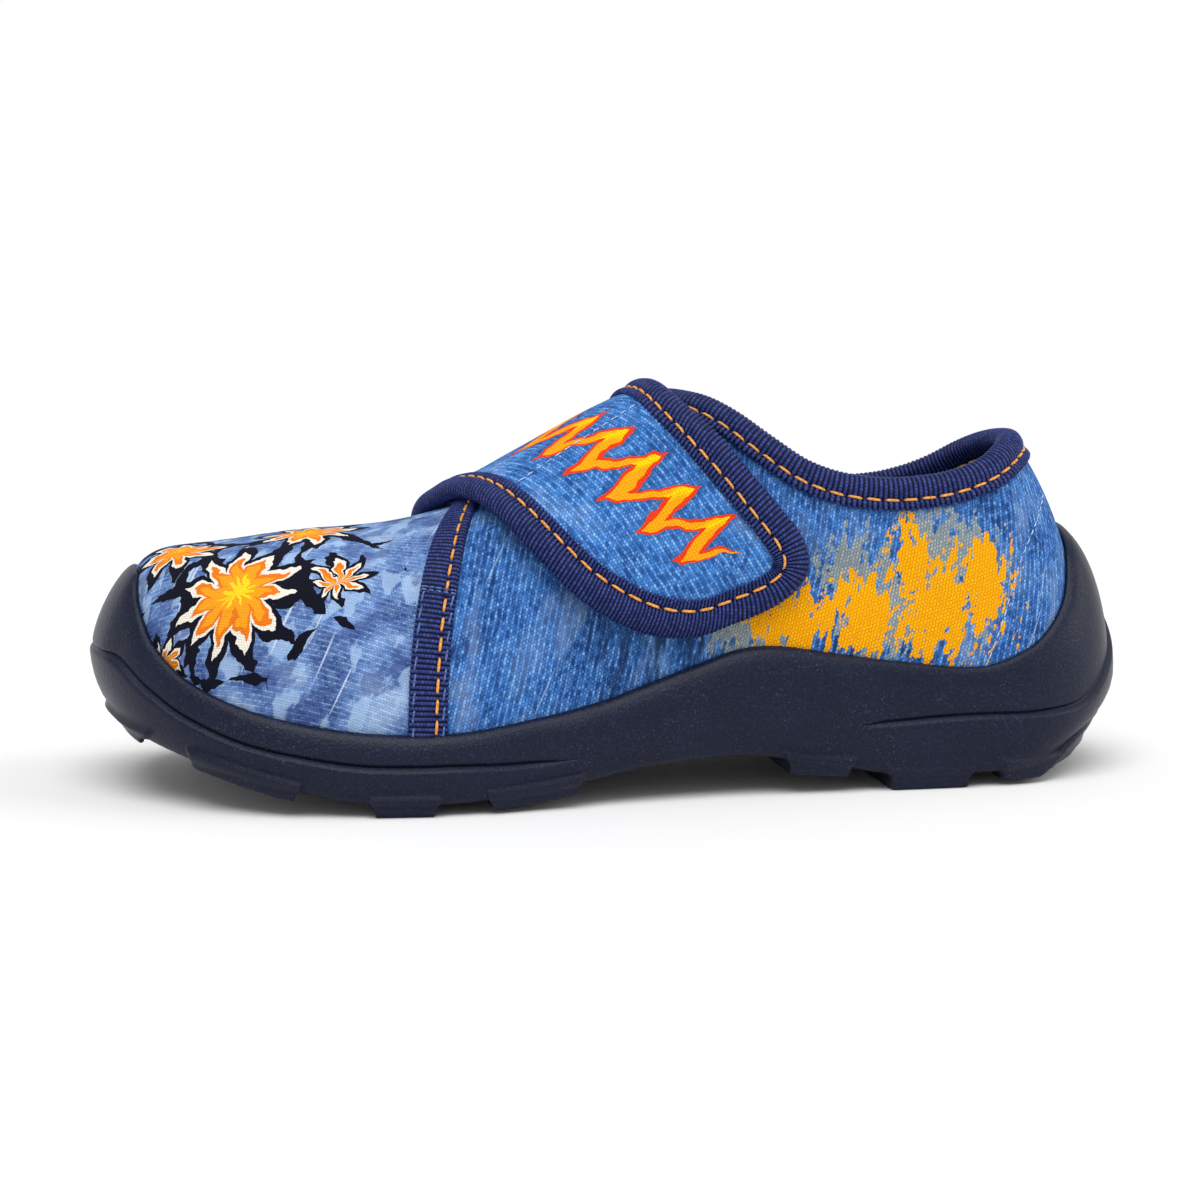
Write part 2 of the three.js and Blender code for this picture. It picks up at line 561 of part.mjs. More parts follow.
// The loose insole on the sole's inside.
function insole() {
  const ends = [HEEL_X - WALL, TOE_X + WALL];
  const lower = sideLine(...ends, bedHeight, BED_STEPS);
  const raised = sideLine(...ends, (x) => bedHeight(x) + INSOLE_THICKNESS, BED_STEPS).reverse();
  return form(-WALL - CLEARANCE, WALL).intersect(sidePrism([...lower, ...raised]));
}

// The outline place whose rib runs up to a given place on the ridge.
function outlinePlace(ridgeX) {
  const rear = (HEEL_X + HEEL_FAN_LENGTH - ridgeX) / HEEL_FAN_LENGTH;
  const fore = (ridgeX - (TOE_X - TOE_FAN_LENGTH)) / TOE_FAN_LENGTH;
  if (rear > 0) return HEEL_X + HEEL_FAN_LENGTH * Math.sqrt(Math.max(1 - 2 * rear, 0));
  if (fore > 0) return TOE_X - TOE_FAN_LENGTH * Math.sqrt(Math.max(1 - 2 * fore, 0));
  return ridgeX;
}

// A point of the last by its place along the ridge and the distance down the rib from there, outward side positive.
function draped(ridgeX, down) {
  const r = rib(outlinePlace(ridgeX), down >= 0 ? 1 : -1);
  let last = ribPoint(r, 1);
  let gone = 0;
  for (let k = RIB_STEPS - 1; k >= 0; k--) {
    const next = ribPoint(r, k / RIB_STEPS);
    const length = next.distanceTo(last);
    if (gone + length >= Math.abs(down)) return last.lerp(next, (Math.abs(down) - gone) / length);
    gone += length;
    last = next;
  }
  return last;
}

// The same point lifted off the last.
function drapedAt(ridgeX, down, lift) {
  const step = 1;
  const alongX = draped(ridgeX + step, down).sub(draped(ridgeX - step, down));
  const alongDown = draped(ridgeX, down + step).sub(draped(ridgeX, down - step));
  const normal = alongX.cross(alongDown).normalize();
  return draped(ridgeX, down).addScaledVector(normal, lift);
}

// The way down a rib from the ridge to its foot, under the strap's centre.
const halfGirth = (() => {
  const r = rib(place(STRAP_CENTRE), 1);
  const steps = Array.from({ length: RIB_STEPS }, (_, k) => [k / RIB_STEPS, (k + 1) / RIB_STEPS]);
  return steps.reduce((sum, [a, b]) => sum + ribPoint(r, a).distanceTo(ribPoint(r, b)), 0);
})();

// A point of the strap's layers: along the ridge, down the ribs, and lifted off whatever it lies on.
function strapPoint(flat, lift) {
  const ridgeX = place(STRAP_CENTRE) + flat.x * Math.cos(RIDGE_SLOPE);
  const drop = flat.y / halfGirth;
  const down = THREE.MathUtils.smoothstep(Math.abs(drop), ...(drop > 0 ? SEATED_OUTER : SEATED_INNER));
  return drapedAt(ridgeX, flat.y, CLEARANCE + (TAPE_THICKNESS + 2 * CLEARANCE) * (1 - down) + lift);
}

// The strap's flat outline: from its sewn end down the front edge, round the free end and back up the rear edge.
const strapOutline = (() => {
  const flat = (along, drop) => new THREE.Vector2(along * STRAP_WIDTH, drop * halfGirth);
  const [first, last] = [STRAP_TABLE[0].drop, STRAP_TABLE[STRAP_TABLE.length - 1].drop];
  const edge = (column) => {
    const along = curveOf(STRAP_TABLE, "drop", column);
    return Array.from({ length: STRAP_ROWS + 1 }, (_, i) => {
      const drop = first + ((last - first) * i) / STRAP_ROWS;
      return flat(along(drop), drop);
    });
  };
  const [front, rear] = [edge("front"), edge("rear").reverse()];
  const end = FREE_END.map((p) => flat(p.along, p.drop));
  const turn = new THREE.SplineCurve([front[STRAP_ROWS], ...end, rear[0]]);
  return [...front, ...turn.getSpacedPoints(2 * END_ROWS).slice(1, -1), ...rear];
})();

const STRAP_BASE = TAPE_THICKNESS + CLEARANCE; // the strap's own underside, over the lower leg of its tape

// The strap: one band of canvas, its sewn end cut off at the sole's rim.
function strap() {
  const count = (strapOutline.length - 1) / 2;
  const outer = shifted(strapOutline, CLEARANCE);
  const inner = shifted(strapOutline, STRAP_TAPE_WIDTH);
  const rowOf = (i) => {
    const other = 2 * count - i;
    const middle = Array.from({ length: STRAP_COLUMNS + 1 }, (_, k) =>
      inner[i].clone().lerp(inner[other], k / STRAP_COLUMNS),
    );
    return [outer[i], ...middle, outer[other]];
  };
  const rows = Array.from({ length: count + 1 }, (_, i) => rowOf(i));
  const wide = STRAP_COLUMNS + 3;
  const top = rows.length * wide;
  const points = [
    ...rows.flat().map((p) => strapPoint(p, STRAP_BASE)),
    ...rows.flat().map((p) => strapPoint(p, STRAP_BASE + STRAP_THICKNESS)),
  ];
  const faces = [];
  const quad = (a, b, c, d) => faces.push(a, b, c, a, c, d);
  const wall = (a, b) => quad(b, a, top + a, top + b);
  for (let i = 0; i < count; i++) {
    for (let k = 0; k < wide - 1; k++) {
      const a = i * wide + k;
      quad(a, a + wide, a + wide + 1, a + 1);
      quad(top + a, top + a + 1, top + a + wide + 1, top + a + wide);
    }
    wall(i * wide, (i + 1) * wide);
    wall((i + 1) * wide + wide - 1, i * wide + wide - 1);
  }
  for (let k = 0; k < wide - 1; k++) wall(k + 1, k);
  return facingOut(points, faces).subtract(belowRim(place(STRAP_CENTRE)));
}

// The ribbed tape folded over the strap's edge, round its free end: a channel swept along the edge. Its outside and
// its inside each turn the fold with two flat chamfers.
function strapTape() {
  const [thick, gap] = [TAPE_THICKNESS, CLEARANCE];
  const under = STRAP_BASE + STRAP_THICKNESS + gap;
  const high = under + thick;
  const [outerChamfer, innerChamfer] = [0.35 * high, 0.4 * high];
  const section = [
    { in: STRAP_TAPE_WIDTH, lift: 0 },
    { in: 0, lift: 0 },
    { in: -thick, lift: outerChamfer },
    { in: -thick, lift: high - outerChamfer },
    { in: 0, lift: high },
    { in: STRAP_TAPE_WIDTH, lift: high },
    { in: STRAP_TAPE_WIDTH, lift: under },
    { in: gap, lift: under },
    { in: 0, lift: high - innerChamfer },
    { in: 0, lift: innerChamfer },
    { in: gap, lift: thick },
    { in: STRAP_TAPE_WIDTH, lift: thick },
  ];
  const lines = section.map((p) => shifted(strapOutline, p.in));
  const count = lines[0].length;
  const n = section.length;
  const points = [];
  for (let i = 0; i < count; i++) section.forEach((p, k) => points.push(strapPoint(lines[k][i], p.lift)));
  const faces = [];
  const quad = (a, b, c, d) => faces.push(a, b, c, a, c, d);
  for (let i = 0; i < count - 1; i++)
    for (let k = 0; k < n; k++) {
      const next = (k + 1) % n;
      const [a, b] = [i * n + k, i * n + next];
      if (section[next].in < section[k].in) quad(b, b + n, a + n, a);
      else quad(a, b, b + n, a + n);
    }
  const last = (count - 1) * n;
  for (let k = 0; k < n / 2 - 1; k++) {
    quad(k + 1, k, n - 1 - k, n - 2 - k);
    quad(last + k, last + k + 1, last + n - 2 - k, last + n - 1 - k);
  }
  return facingOut(points, faces).subtract(belowRim(place(STRAP_CENTRE)));
}

const finishes = {
  moulding: new THREE.MeshStandardMaterial({ color: "#252a45", roughness: 0.6, metalness: 0 }),
  canvas: new THREE.MeshStandardMaterial({ color: "#5f86bf", roughness: 0.9, metalness: 0 }),
  tape: new THREE.MeshStandardMaterial({ color: "#26305e", roughness: 0.7, metalness: 0 }),
  lining: new THREE.MeshStandardMaterial({ color: "#22284a", roughness: 0.95, metalness: 0 }),
};

const slipper = new THREE.Group();
const pieces = [
  ["sole", sole(), finishes.moulding],
  ["upper", upper(), finishes.canvas],
  ["insole", insole(), finishes.lining],
  ["collar_tape", collarTape(), finishes.tape],
  ["seam_tape_outer", seamTape(1), finishes.tape],
  ["seam_tape_inner", seamTape(-1), finishes.tape],
  ["strap", strap(), finishes.canvas],
  ["strap_tape", strapTape(), finishes.tape],
];
for (const [name, made, finish] of pieces) {
  const mesh = new THREE.Mesh(geometryOf(made), finish);
  mesh.name = name;
  slipper.add(mesh);
}

// The origin is on the floor, under the middle of the slipper's box.
const box = new THREE.Box3().setFromObject(slipper);
const middle = box.getCenter(new THREE.Vector3());
slipper.position.set(-middle.x, -middle.y, -box.min.z);

export default slipper;
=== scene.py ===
# %% [markdown]
# A child's house slipper for the left foot, dressed over its CAD solids. The real one is a soft
# shoe: a cup of moulded polyurethane foam, an upper of printed cotton canvas that is drawn over a
# last and bonded into the cup, ribbed tape round every cut edge, and a strap that closes over the
# instep. The solids already have the right sizes. This script builds finer skins over them, in the
# same frame, and gives each one the finish of the real material.

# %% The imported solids
from types import SimpleNamespace

import bmesh
import bpy
import numpy as np
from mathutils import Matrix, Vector
from mathutils.bvhtree import BVHTree


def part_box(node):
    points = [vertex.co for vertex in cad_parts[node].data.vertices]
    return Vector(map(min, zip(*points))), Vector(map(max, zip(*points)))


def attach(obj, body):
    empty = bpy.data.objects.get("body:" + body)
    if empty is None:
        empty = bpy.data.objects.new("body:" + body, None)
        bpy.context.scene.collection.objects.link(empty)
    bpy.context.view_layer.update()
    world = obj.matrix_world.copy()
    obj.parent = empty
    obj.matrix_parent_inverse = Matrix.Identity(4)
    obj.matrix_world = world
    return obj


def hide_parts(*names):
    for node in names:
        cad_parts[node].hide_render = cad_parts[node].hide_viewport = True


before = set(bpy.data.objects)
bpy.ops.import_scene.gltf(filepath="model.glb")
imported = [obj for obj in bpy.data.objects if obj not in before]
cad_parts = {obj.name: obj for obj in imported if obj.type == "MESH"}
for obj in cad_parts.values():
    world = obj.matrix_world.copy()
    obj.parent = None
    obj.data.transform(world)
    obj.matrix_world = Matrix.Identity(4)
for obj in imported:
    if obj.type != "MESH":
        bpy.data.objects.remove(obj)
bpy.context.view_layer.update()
MM = 0.001
print("solids:", ", ".join(sorted(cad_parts)))

# %% [markdown]
# A shoe is drawn on a last, a smooth closed form of the foot. The canvas, the tapes and the strap
# all follow it, so it is the first thing to work out. It could be sculpted, or read back from the
# solids. Here it is worked out again from the same few sizes and tables as the solids, because a
# formula can be asked for a point anywhere on it, as finely as the stitches need.

# %% Driving sizes of the last
UPPER_LENGTH = 183 * MM  # outside of the upper, heel to toe
BALL_WIDTH = 68 * MM  # outside of the upper at the ball
HEEL_WIDTH = 51 * MM  # outside of the upper at the heel
TOE_CAP_LENGTH = 45.5 * MM  # where the plan outline starts to close round the toes
HEEL_CAP_LENGTH = 28.5 * MM  # where it starts to close round the heel
CAP_ROUNDNESS = 2.2  # exponent of both rounded ends
TOE_FAN_LENGTH = 33.5 * MM  # the ribs of the toe fan out over this length
HEEL_FAN_LENGTH = 80.5 * MM  # and those of the heel over this one
HEEL_SEAT = 13 * MM  # height of the inside of the sole under the heel
INSTEP_HEIGHT = 77 * MM  # height of the last's top over the ankle
CLEARANCE = 0.3 * MM  # between pieces that touch
WALL = 2 * MM  # canvas, foam and lining of the upper
HEEL_X = -UPPER_LENGTH / 2
TOE_X = UPPER_LENGTH / 2


def table(columns, *rows):
    """Rows of numbers under named columns."""
    return dict(zip(columns.split(), np.array(rows, float).T))


# at is a share of the length from the heel, the rest are shares of the widths and heights above
LENGTH_TABLE = table(
    "at spread swing bed under",
    (-0.045, 0, 0, 1, 1.05),
    (-0.01, 0, 0, 1, 0.6),
    (0.04, 0, 0, 1, 0.38),
    (0.15, 0, 0, 1, 0.19),
    (0.23, 0, 0, 1, 0.2),
    (0.32, 0.02, 0, 1, 0.41),
    (0.4, 0.08, 0, 0.98, 0.56),
    (0.49, 0.28, 0.008, 0.89, 0.49),
    (0.6, 0.68, 0.012, 0.71, 0.24),
    (0.7, 1, 0.007, 0.63, 0.15),
    (0.76, 1, -0.004, 0.65, 0.16),
    (0.85, 0.99, -0.03, 0.78, 0.38),
    (0.93, 0.97, -0.065, 1.03, 0.66),
    (1.0, 0.95, -0.105, 1.36, 1.05),
    (1.03, 0.95, -0.12, 1.5, 1.5),
)

# top is the ridge's height, full the exponent of the section
RIDGE_TABLE = table(
    "at top full",
    (0, 0.99, 2.06),
    (0.1, 1, 2.18),
    (0.22, 1, 2.25),
    (0.34, 0.995, 2.2),
    (0.4, 0.968, 2.2),
    (0.445, 0.917, 2.2),
    (0.513, 0.844, 2.2),
    (0.596, 0.738, 2.22),
    (0.637, 0.686, 2.25),
    (0.68, 0.648, 2.3),
    (0.74, 0.619, 2.4),
    (0.82, 0.603, 2.55),
    (0.91, 0.568, 2.9),
    (1.0, 0.53, 3.6),
)

# %% Curves, widths and ribs of the last


def curve_of(rows, key, column):
    """A column of a table as a smooth curve that never overshoots its rows."""
    order = np.argsort(rows[key])
    x, y = rows[key][order], rows[column][order]
    slope = np.diff(y) / np.diff(x)
    a, b = slope[:-1], slope[1:]
    inner = np.where(a * b > 0, 2 * a * b / np.where(a * b > 0, a + b, 1), 0)
    bend = np.concatenate([slope[:1], inner, slope[-1:]])

    def at(v):
        v = np.clip(v, x[0], x[-1])
        i = np.clip(np.searchsorted(x, v) - 1, 0, len(x) - 2)
        h = x[i + 1] - x[i]
        t = (v - x[i]) / h
        value = y[i] * (1 + 2 * t) * (1 - t) ** 2 + y[i + 1] * t * t * (3 - 2 * t)
        return value + h * (bend[i] * t * (1 - t) ** 2 - bend[i + 1] * t * t * (1 - t))

    return at


def share(x):
    return (x - HEEL_X) / UPPER_LENGTH


def place(at):
    return HEEL_X + at * UPPER_LENGTH


length_curve = {c: curve_of(LENGTH_TABLE, "at", c) for c in ("spread", "swing", "bed", "under")}
ridge_curve = {c: curve_of(RIDGE_TABLE, "at", c) for c in ("top", "full")}


def bed_height(x):
    return HEEL_SEAT * length_curve["bed"](share(x))


def under_height(x):
    return HEEL_SEAT * length_curve["under"](share(x))


def centre_line(x):
    return BALL_WIDTH * length_curve["swing"](share(x))


def half_width(x):
    """Half the plan outline's width at x, closed by a rounded cap at each end."""
    open_half = (HEEL_WIDTH + (BALL_WIDTH - HEEL_WIDTH) * length_curve["spread"](share(x))) / 2
    toe = (x - (TOE_X - TOE_CAP_LENGTH)) / TOE_CAP_LENGTH
    heel = (HEEL_X + HEEL_CAP_LENGTH - x) / HEEL_CAP_LENGTH
    into = np.clip(np.maximum(toe, heel), 0, 1)
    return open_half * (1 - into**CAP_ROUNDNESS) ** (1 / CAP_ROUNDNESS)


def ridge_place(x):
    """The place on the ridge that the rib from outline position x runs up to."""
    toe = (x - (TOE_X - TOE_FAN_LENGTH)) / TOE_FAN_LENGTH
    heel = (HEEL_X + HEEL_FAN_LENGTH - x) / HEEL_FAN_LENGTH
    fore = TOE_X - TOE_FAN_LENGTH * (1 - toe + toe * toe / 2)
    rear = HEEL_X + HEEL_FAN_LENGTH * (1 - heel + heel * heel / 2)
    return np.where(toe > 0, fore, np.where(heel > 0, rear, x))


def rib(x, side):
    """Ribs of the last from the outline at x up to the ridge. Side is 1 outside and -1 inside."""
    x, side = np.broadcast_arrays(np.asarray(x, float), np.asarray(side, float))
    head_x = ridge_place(x)
    head_y = centre_line(head_x)
    run_x = x - head_x
    run_y = centre_line(x) + side * half_width(x) - head_y
    reach = np.hypot(run_x, run_y)
    return SimpleNamespace(
        head_x=head_x,
        head_y=head_y,
        reach=reach,
        out_x=run_x / reach,
        out_y=run_y / reach,
        low=bed_height(x),
        high=INSTEP_HEIGHT * ridge_curve["top"](share(head_x)),
        full=ridge_curve["full"](share(x)),
    )


def ribs_of(r, shape):
    """The same ribs with more axes, to meet an array of climbs."""
    return SimpleNamespace(**{k: v.reshape(v.shape + shape) for k, v in vars(r).items()})


def from_head(r, far, *z):
    """Places at a distance from the heads of ribs, seen from above, and at a height z if it is given."""
    return np.stack(np.broadcast_arrays(r.head_x + r.out_x * far, r.head_y + r.out_y * far, *z), -1)


def rib_point(r, climb):
    """Points of ribs, climb is 0 at the foot and 1 on the ridge."""
    angle = climb * np.pi / 2
    up = np.sin(angle) ** (2 / r.full)
    far = r.reach * np.clip(np.cos(angle), 0, 1) ** (2 / r.full)
    return from_head(r, far, r.low + (r.high - r.low) * up)


def reach_at(r, z):
    """How far the last stands out along a rib at a height, from the rib's foot: 0 there and less above it."""
    up = np.clip((z - r.low) / (r.high - r.low), 0, 1)
    return r.reach * ((1 - up**r.full) ** (1 / r.full) - 1)


def at_turn(turn):
    """The outline's x at a turn, which is 0 at the toe tip and 1 at the back of the heel."""
    return (HEEL_X + TOE_X) / 2 + UPPER_LENGTH / 2 * np.cos(np.pi * turn)


def turn_at(x):
    return np.arccos(np.clip(2 * share(x) - 1, -1, 1)) / np.pi


def round_foot(half):
    """Turns round the whole foot from those of its outer half, and the side of each."""
    turn = np.concatenate([half, half[-2:0:-1]])
    return turn, np.where(np.arange(len(turn)) < len(half), 1.0, -1.0)


def on_side(x, z, side):
    """Points on a side of the last from their places seen from the side."""
    r = rib(x, side)
    z = np.minimum(z, r.high - 0.01 * MM)
    return np.stack([x, centre_line(x) + side * (half_width(x) + reach_at(r, z)), z], -1)


# %% [markdown]
# The CAD's origin is under the middle of the slipper's box, and the formulas above have theirs at
# the middle of the upper. The shift between the two is read from the solids: the upper's own box,
# against the same box of the formula.

# %% From the last's own place to the frame
OUTLINE = at_turn(np.linspace(0, 1, 400))
upper_low, upper_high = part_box("upper")
widest = (centre_line(OUTLINE) + half_width(OUTLINE)).max()
SHIFT = np.array([upper_high.x - TOE_X, upper_high.y - widest, 0])
print("shift of the frame, mm:", np.round(SHIFT / MM, 3))

# %% [markdown]
# Every piece below is a grid of points: rows along something and columns across it. One helper
# turns such a grid into a mesh, with a second set of coordinates, the flat coordinates of the cloth
# in metres. The weave and the print are drawn on those, so they keep their real size over every
# curve.

# %% From grids of points to a mesh
WELD = 0.002 * MM  # points closer than this are one


def grid_faces(rows, columns, first=0, wrap_rows=False, wrap_columns=False):
    """Four-sided faces over a grid of points, numbered row by row."""
    i = np.arange(rows if wrap_rows else rows - 1)[:, None]
    j = np.arange(columns if wrap_columns else columns - 1)[None, :]
    i2, j2 = (i + 1) % rows, (j + 1) % columns
    corners = [i * columns + j, i * columns + j2, i2 * columns + j2, i2 * columns + j]
    return np.stack(np.broadcast_arrays(*corners), -1).reshape(-1, 4) + first


def mesh_piece(name, points, faces, finishes, cloth=None, finish_of=None):
    """A smooth closed mesh from points in the last's own place. Cloth is for each point or corner."""
    mesh = bpy.data.meshes.new(name)
    mesh.from_pydata((points + SHIFT).tolist(), [], faces.tolist())
    mesh.polygons.foreach_set("use_smooth", [True] * len(mesh.polygons))
    if cloth is not None:
        flat = cloth.reshape(-1, 2) if cloth.ndim == 3 else cloth[faces.ravel()]
        layer = mesh.uv_layers.new(name="cloth")
        layer.data.foreach_set("uv", flat.astype(np.float32).ravel())
    for finish in finishes:
        mesh.materials.append(finish)
    if finish_of is not None:
        mesh.polygons.foreach_set("material_index", np.asarray(finish_of, np.int32))
    form = bmesh.new()
    form.from_mesh(mesh)
    bmesh.ops.remove_doubles(form, verts=form.verts, dist=WELD)
    bmesh.ops.holes_fill(form, edges=[edge for edge in form.edges if edge.is_boundary], sides=0)
    bmesh.ops.recalc_face_normals(form, faces=form.faces)
    form.to_mesh(mesh)
    form.free()
    piece = bpy.data.objects.new(name, mesh)
    bpy.context.scene.collection.objects.link(piece)
    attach(piece, "root")
    print(name, "faces:", len(mesh.polygons), "open edges:", open_edges(mesh))
    return piece


def open_edges(mesh):
    """How many edges of a mesh have one face only. A closed piece has none."""
    count = np.zeros(len(mesh.edges), int)
    edges = np.zeros(len(mesh.loops), np.int64)
    mesh.loops.foreach_get("edge_index", edges)
    np.add.at(count, edges, 1)
    return int((count == 1).sum())


# %% [markdown]
# Tapes, seams and prints lie on the last at some place that is easy to name only roughly. A search
# tree over a fine mesh of the last finds the nearest point of its surface, and the surface's
# direction there, so that anything can be laid on it at a chosen height.

# %% The last as a surface that things can be laid on
LAST_STATIONS, LAST_ROWS = 480, 96
last_turn, last_side = round_foot(np.linspace(0, 1, LAST_STATIONS // 2 + 1))
last_ribs = ribs_of(rib(at_turn(last_turn), last_side), (1,))
last_grid = rib_point(last_ribs, np.linspace(0, 1, LAST_ROWS)[None, :]).reshape(-1, 3)
cells = np.round(last_grid / WELD).astype(np.int64)
_, first, number = np.unique(cells, axis=0, return_index=True, return_inverse=True)
last_points = last_grid[first]
quads = number.reshape(-1)[grid_faces(LAST_STATIONS, LAST_ROWS, wrap_rows=True)]
last_triangles = np.concatenate([quads[:, [0, 1, 2]], quads[:, [0, 2, 3]]])
whole = (np.diff(np.sort(last_triangles, 1), axis=1) > 0).all(1)
last_triangles = last_triangles[whole]
last_cross = np.cross(
    last_points[last_triangles[:, 1]] - last_points[last_triangles[:, 0]],
    last_points[last_triangles[:, 2]] - last_points[last_triangles[:, 0]],
)
last_normals = np.zeros_like(last_points)
for k in range(3):
    np.add.at(last_normals, last_triangles[:, k], last_cross)
last_normals /= np.linalg.norm(last_normals, axis=1, keepdims=True)
last_normals *= np.sign(last_normals[last_points[:, 2].argmax(), 2])
last_tree = BVHTree.FromPolygons(last_points.tolist(), last_triangles.tolist())


def on_last(points, lift=0.0):
    """The nearest points of the last, lifted off it, and the last's directions there."""
    flat = points.reshape(-1, 3)
    found = [last_tree.find_nearest(p) for p in flat.tolist()]
    where = np.array([f[0] for f in found])
    corners = last_triangles[[f[2] for f in found]]
    a, b, c = (last_points[corners[:, k]] for k in range(3))
    v0, v1, v2 = b - a, c - a, where - a
    d00, d01, d11 = (v0 * v0).sum(1), (v0 * v1).sum(1), (v1 * v1).sum(1)
    d20, d21 = (v2 * v0).sum(1), (v2 * v1).sum(1)
    scale = d00 * d11 - d01 * d01
    wb, wc = (d11 * d20 - d01 * d21) / scale, (d00 * d21 - d01 * d20) / scale
    weights = np.stack([1 - wb - wc, wb, wc], -1)
    normal = (last_normals[corners] * weights[..., None]).sum(1)
    normal /= np.linalg.norm(normal, axis=1, keepdims=True)
    lifted = where + normal * np.broadcast_to(lift, points.shape[:-1]).reshape(-1, 1)
    return lifted.reshape(points.shape), normal.reshape(points.shape)


print("last: points", len(last_points), "length mm", round(np.ptp(last_points[:, 0]) / MM, 1))

# %% [markdown]
# The sole is one moulding of foamed polyurethane, poured round the lasted upper. Its wall rises as
# a soft roll, steps out to a lower band along a crease, and below that stand the lugs of the tread.
# It could be carved with booleans. Here it is one skin: rings round the foot, each ring's height
# and overhang worked out from the side's table, so the crease, the lugs' ends and the rounded edges
# each get rings and stations of their own.

# %% Sizes of the sole
RIM_LIP = 0.9 * MM  # thickness of the wall at its top edge
OVERHANG = 4.3 * MM  # how far the wall stands out past the upper at the ball
LEDGE = 0.9 * MM  # the lower band stands out by this
BEVEL_WIDTH = 8 * MM  # of the edge under the heel that rises
BEVEL_HOLD = 13  # the more, the less the lugs grow down where the edge is bevelled
LUG_PROUD = 1.2 * MM  # the lugs' ends stand out of the side by this
LUG_FACE = 3.6 * MM  # height of a lug's end face
LUG_SLOPE = 1.1 * MM  # how far a lug narrows to its tread
EDGE_RADIUS = 0.9 * MM  # of the sole's bottom edge
CREASE = 0.25 * MM  # spacing of the rings at the step between roll and band
GROOVE_DEPTH, GROOVE_HALF = 0.8 * MM, 0.42 * MM  # the groove that the mould leaves along the step

SIDE_TABLE = table(
    "turn rim step ledge over foot belly curve bevel",
    (0, 0.859, 0.458, 0.6, 1.3, -0.2, 0.48, 1.35, 0),
    (0.05, 0.832, 0.475, 0.7, 1.26, -0.1, 0.48, 1.35, 0),
    (0.085, 0.642, 0.57, 1, 1.18, 0.1, 0.48, 1.4, 0),
    (0.12, 0.428, 0.59, 1, 1.12, 0.3, 0.5, 1.5, 0),
    (0.17, 0.274, 0.55, 1, 1.05, 0.45, 0.5, 1.6, 0),
    (0.23, 0.198, 0.5, 1, 1, 0.55, 0.5, 1.7, 0),
    (0.3, 0.156, 0.535, 1, 1, 0.6, 0.5, 1.8, 0),
    (0.37, 0.138, 0.555, 1, 1, 0.62, 0.5, 1.8, 0),
    (0.42, 0.142, 0.45, 0.9, 1, 0.62, 0.45, 1.8, 0),
    (0.47, 0.148, 0.34, 0, 1.02, 0.62, 0.38, 1.8, 0),
    (0.53, 0.192, 0.255, 0, 1.05, 0.6, 0.32, 1.8, 0),
    (0.575, 0.222, 0.25, 0, 1.05, 0.6, 0.3, 1.8, 0),
    (0.63, 0.189, 0.355, 0, 1.03, 0.6, 0.35, 1.8, 0),
    (0.67, 0.164, 0.475, 0.9, 1.02, 0.6, 0.38, 1.8, 0),
    (0.74, 0.138, 0.56, 1, 1.03, 0.6, 0.38, 1.8, 0),
    (0.8, 0.185, 0.44, 1, 1.1, 0.55, 0.36, 1.75, 0.08),
    (0.86, 0.293, 0.285, 1, 1.22, 0.48, 0.3, 1.7, 0.28),
    (0.92, 0.444, 0.335, 1, 1.36, 0.4, 0.25, 1.7, 0.38),
    (1, 0.516, 0.545, 1, 1.5, 0.3, 0.2, 1.7, 0.36),
)
LUG_TABLE = table(
    "rear front low middle high",
    (-0.05, 0.136, 0.95, 0.2, 0.11),
    (0.158, 0.253, 0, 0, 0),
    (0.281, 0.358, 0.21, 0.24, 0.3),
    (0.557, 0.66, 0.2, 0.1, 0.045),
    (0.698, 0.772, 0, 0, 0),
    (0.829, 0.939, 0.17, 0.36, 0.6),
    (0.969, 1.05, 0.72, 1.02, 1.7),
)
side_curve = {c: curve_of(SIDE_TABLE, "turn", c) for c in SIDE_TABLE if c != "turn"}

# %% The sole's side and its lugs


def smooth(v):
    v = np.clip(v, 0, 1)
    return v * v * (3 - 2 * v)


def side_of(turn, side):
    """The sole's heights and overhangs at stations round the foot."""
    r = rib(at_turn(turn), side)
    c = {name: curve(turn) for name, curve in side_curve.items()}
    rim = r.low + (r.high - r.low) * c["rim"]
    bottom = under_height(r.head_x + r.out_x * r.reach) + HEEL_SEAT * c["bevel"]
    return SimpleNamespace(
        rib=r,
        rim=rim,
        bottom=bottom,
        step=bottom + (rim - bottom) * c["step"],
        belly=bottom + (rim - bottom) * c["belly"],
        widest=OVERHANG * c["over"],
        lowest=OVERHANG * c["foot"],
        lip=reach_at(r, rim) + CLEARANCE + RIM_LIP,
        curve=c["curve"],
        ledge=LEDGE * c["ledge"],
        groove=GROOVE_DEPTH * c["ledge"],
        raised=HEEL_SEAT * c["bevel"],
        hold=1 + BEVEL_HOLD * c["bevel"],
    )


def overhang(s, z):
    """How far the wall stands out past the rib's foot at heights z, without the lugs."""
    below = z < s.belly
    inward = np.where(below, (s.belly - z) / (s.belly - s.bottom), (z - s.belly) / (s.rim - s.belly))
    power = np.where(below, 2, s.curve)
    bulge = (1 - np.clip(inward, 0, 1) ** power) ** (1 / power)
    base = np.where(below, s.lowest, s.lip)
    fade = np.sqrt(np.clip((s.rim - z) / (s.rim - s.step), 0, 1))
    groove = s.groove * np.exp(-(((z - s.step) / GROOVE_HALF) ** 2))
    return base + (s.widest - base) * bulge - np.where(z < s.step, 0, s.ledge * fade) - groove


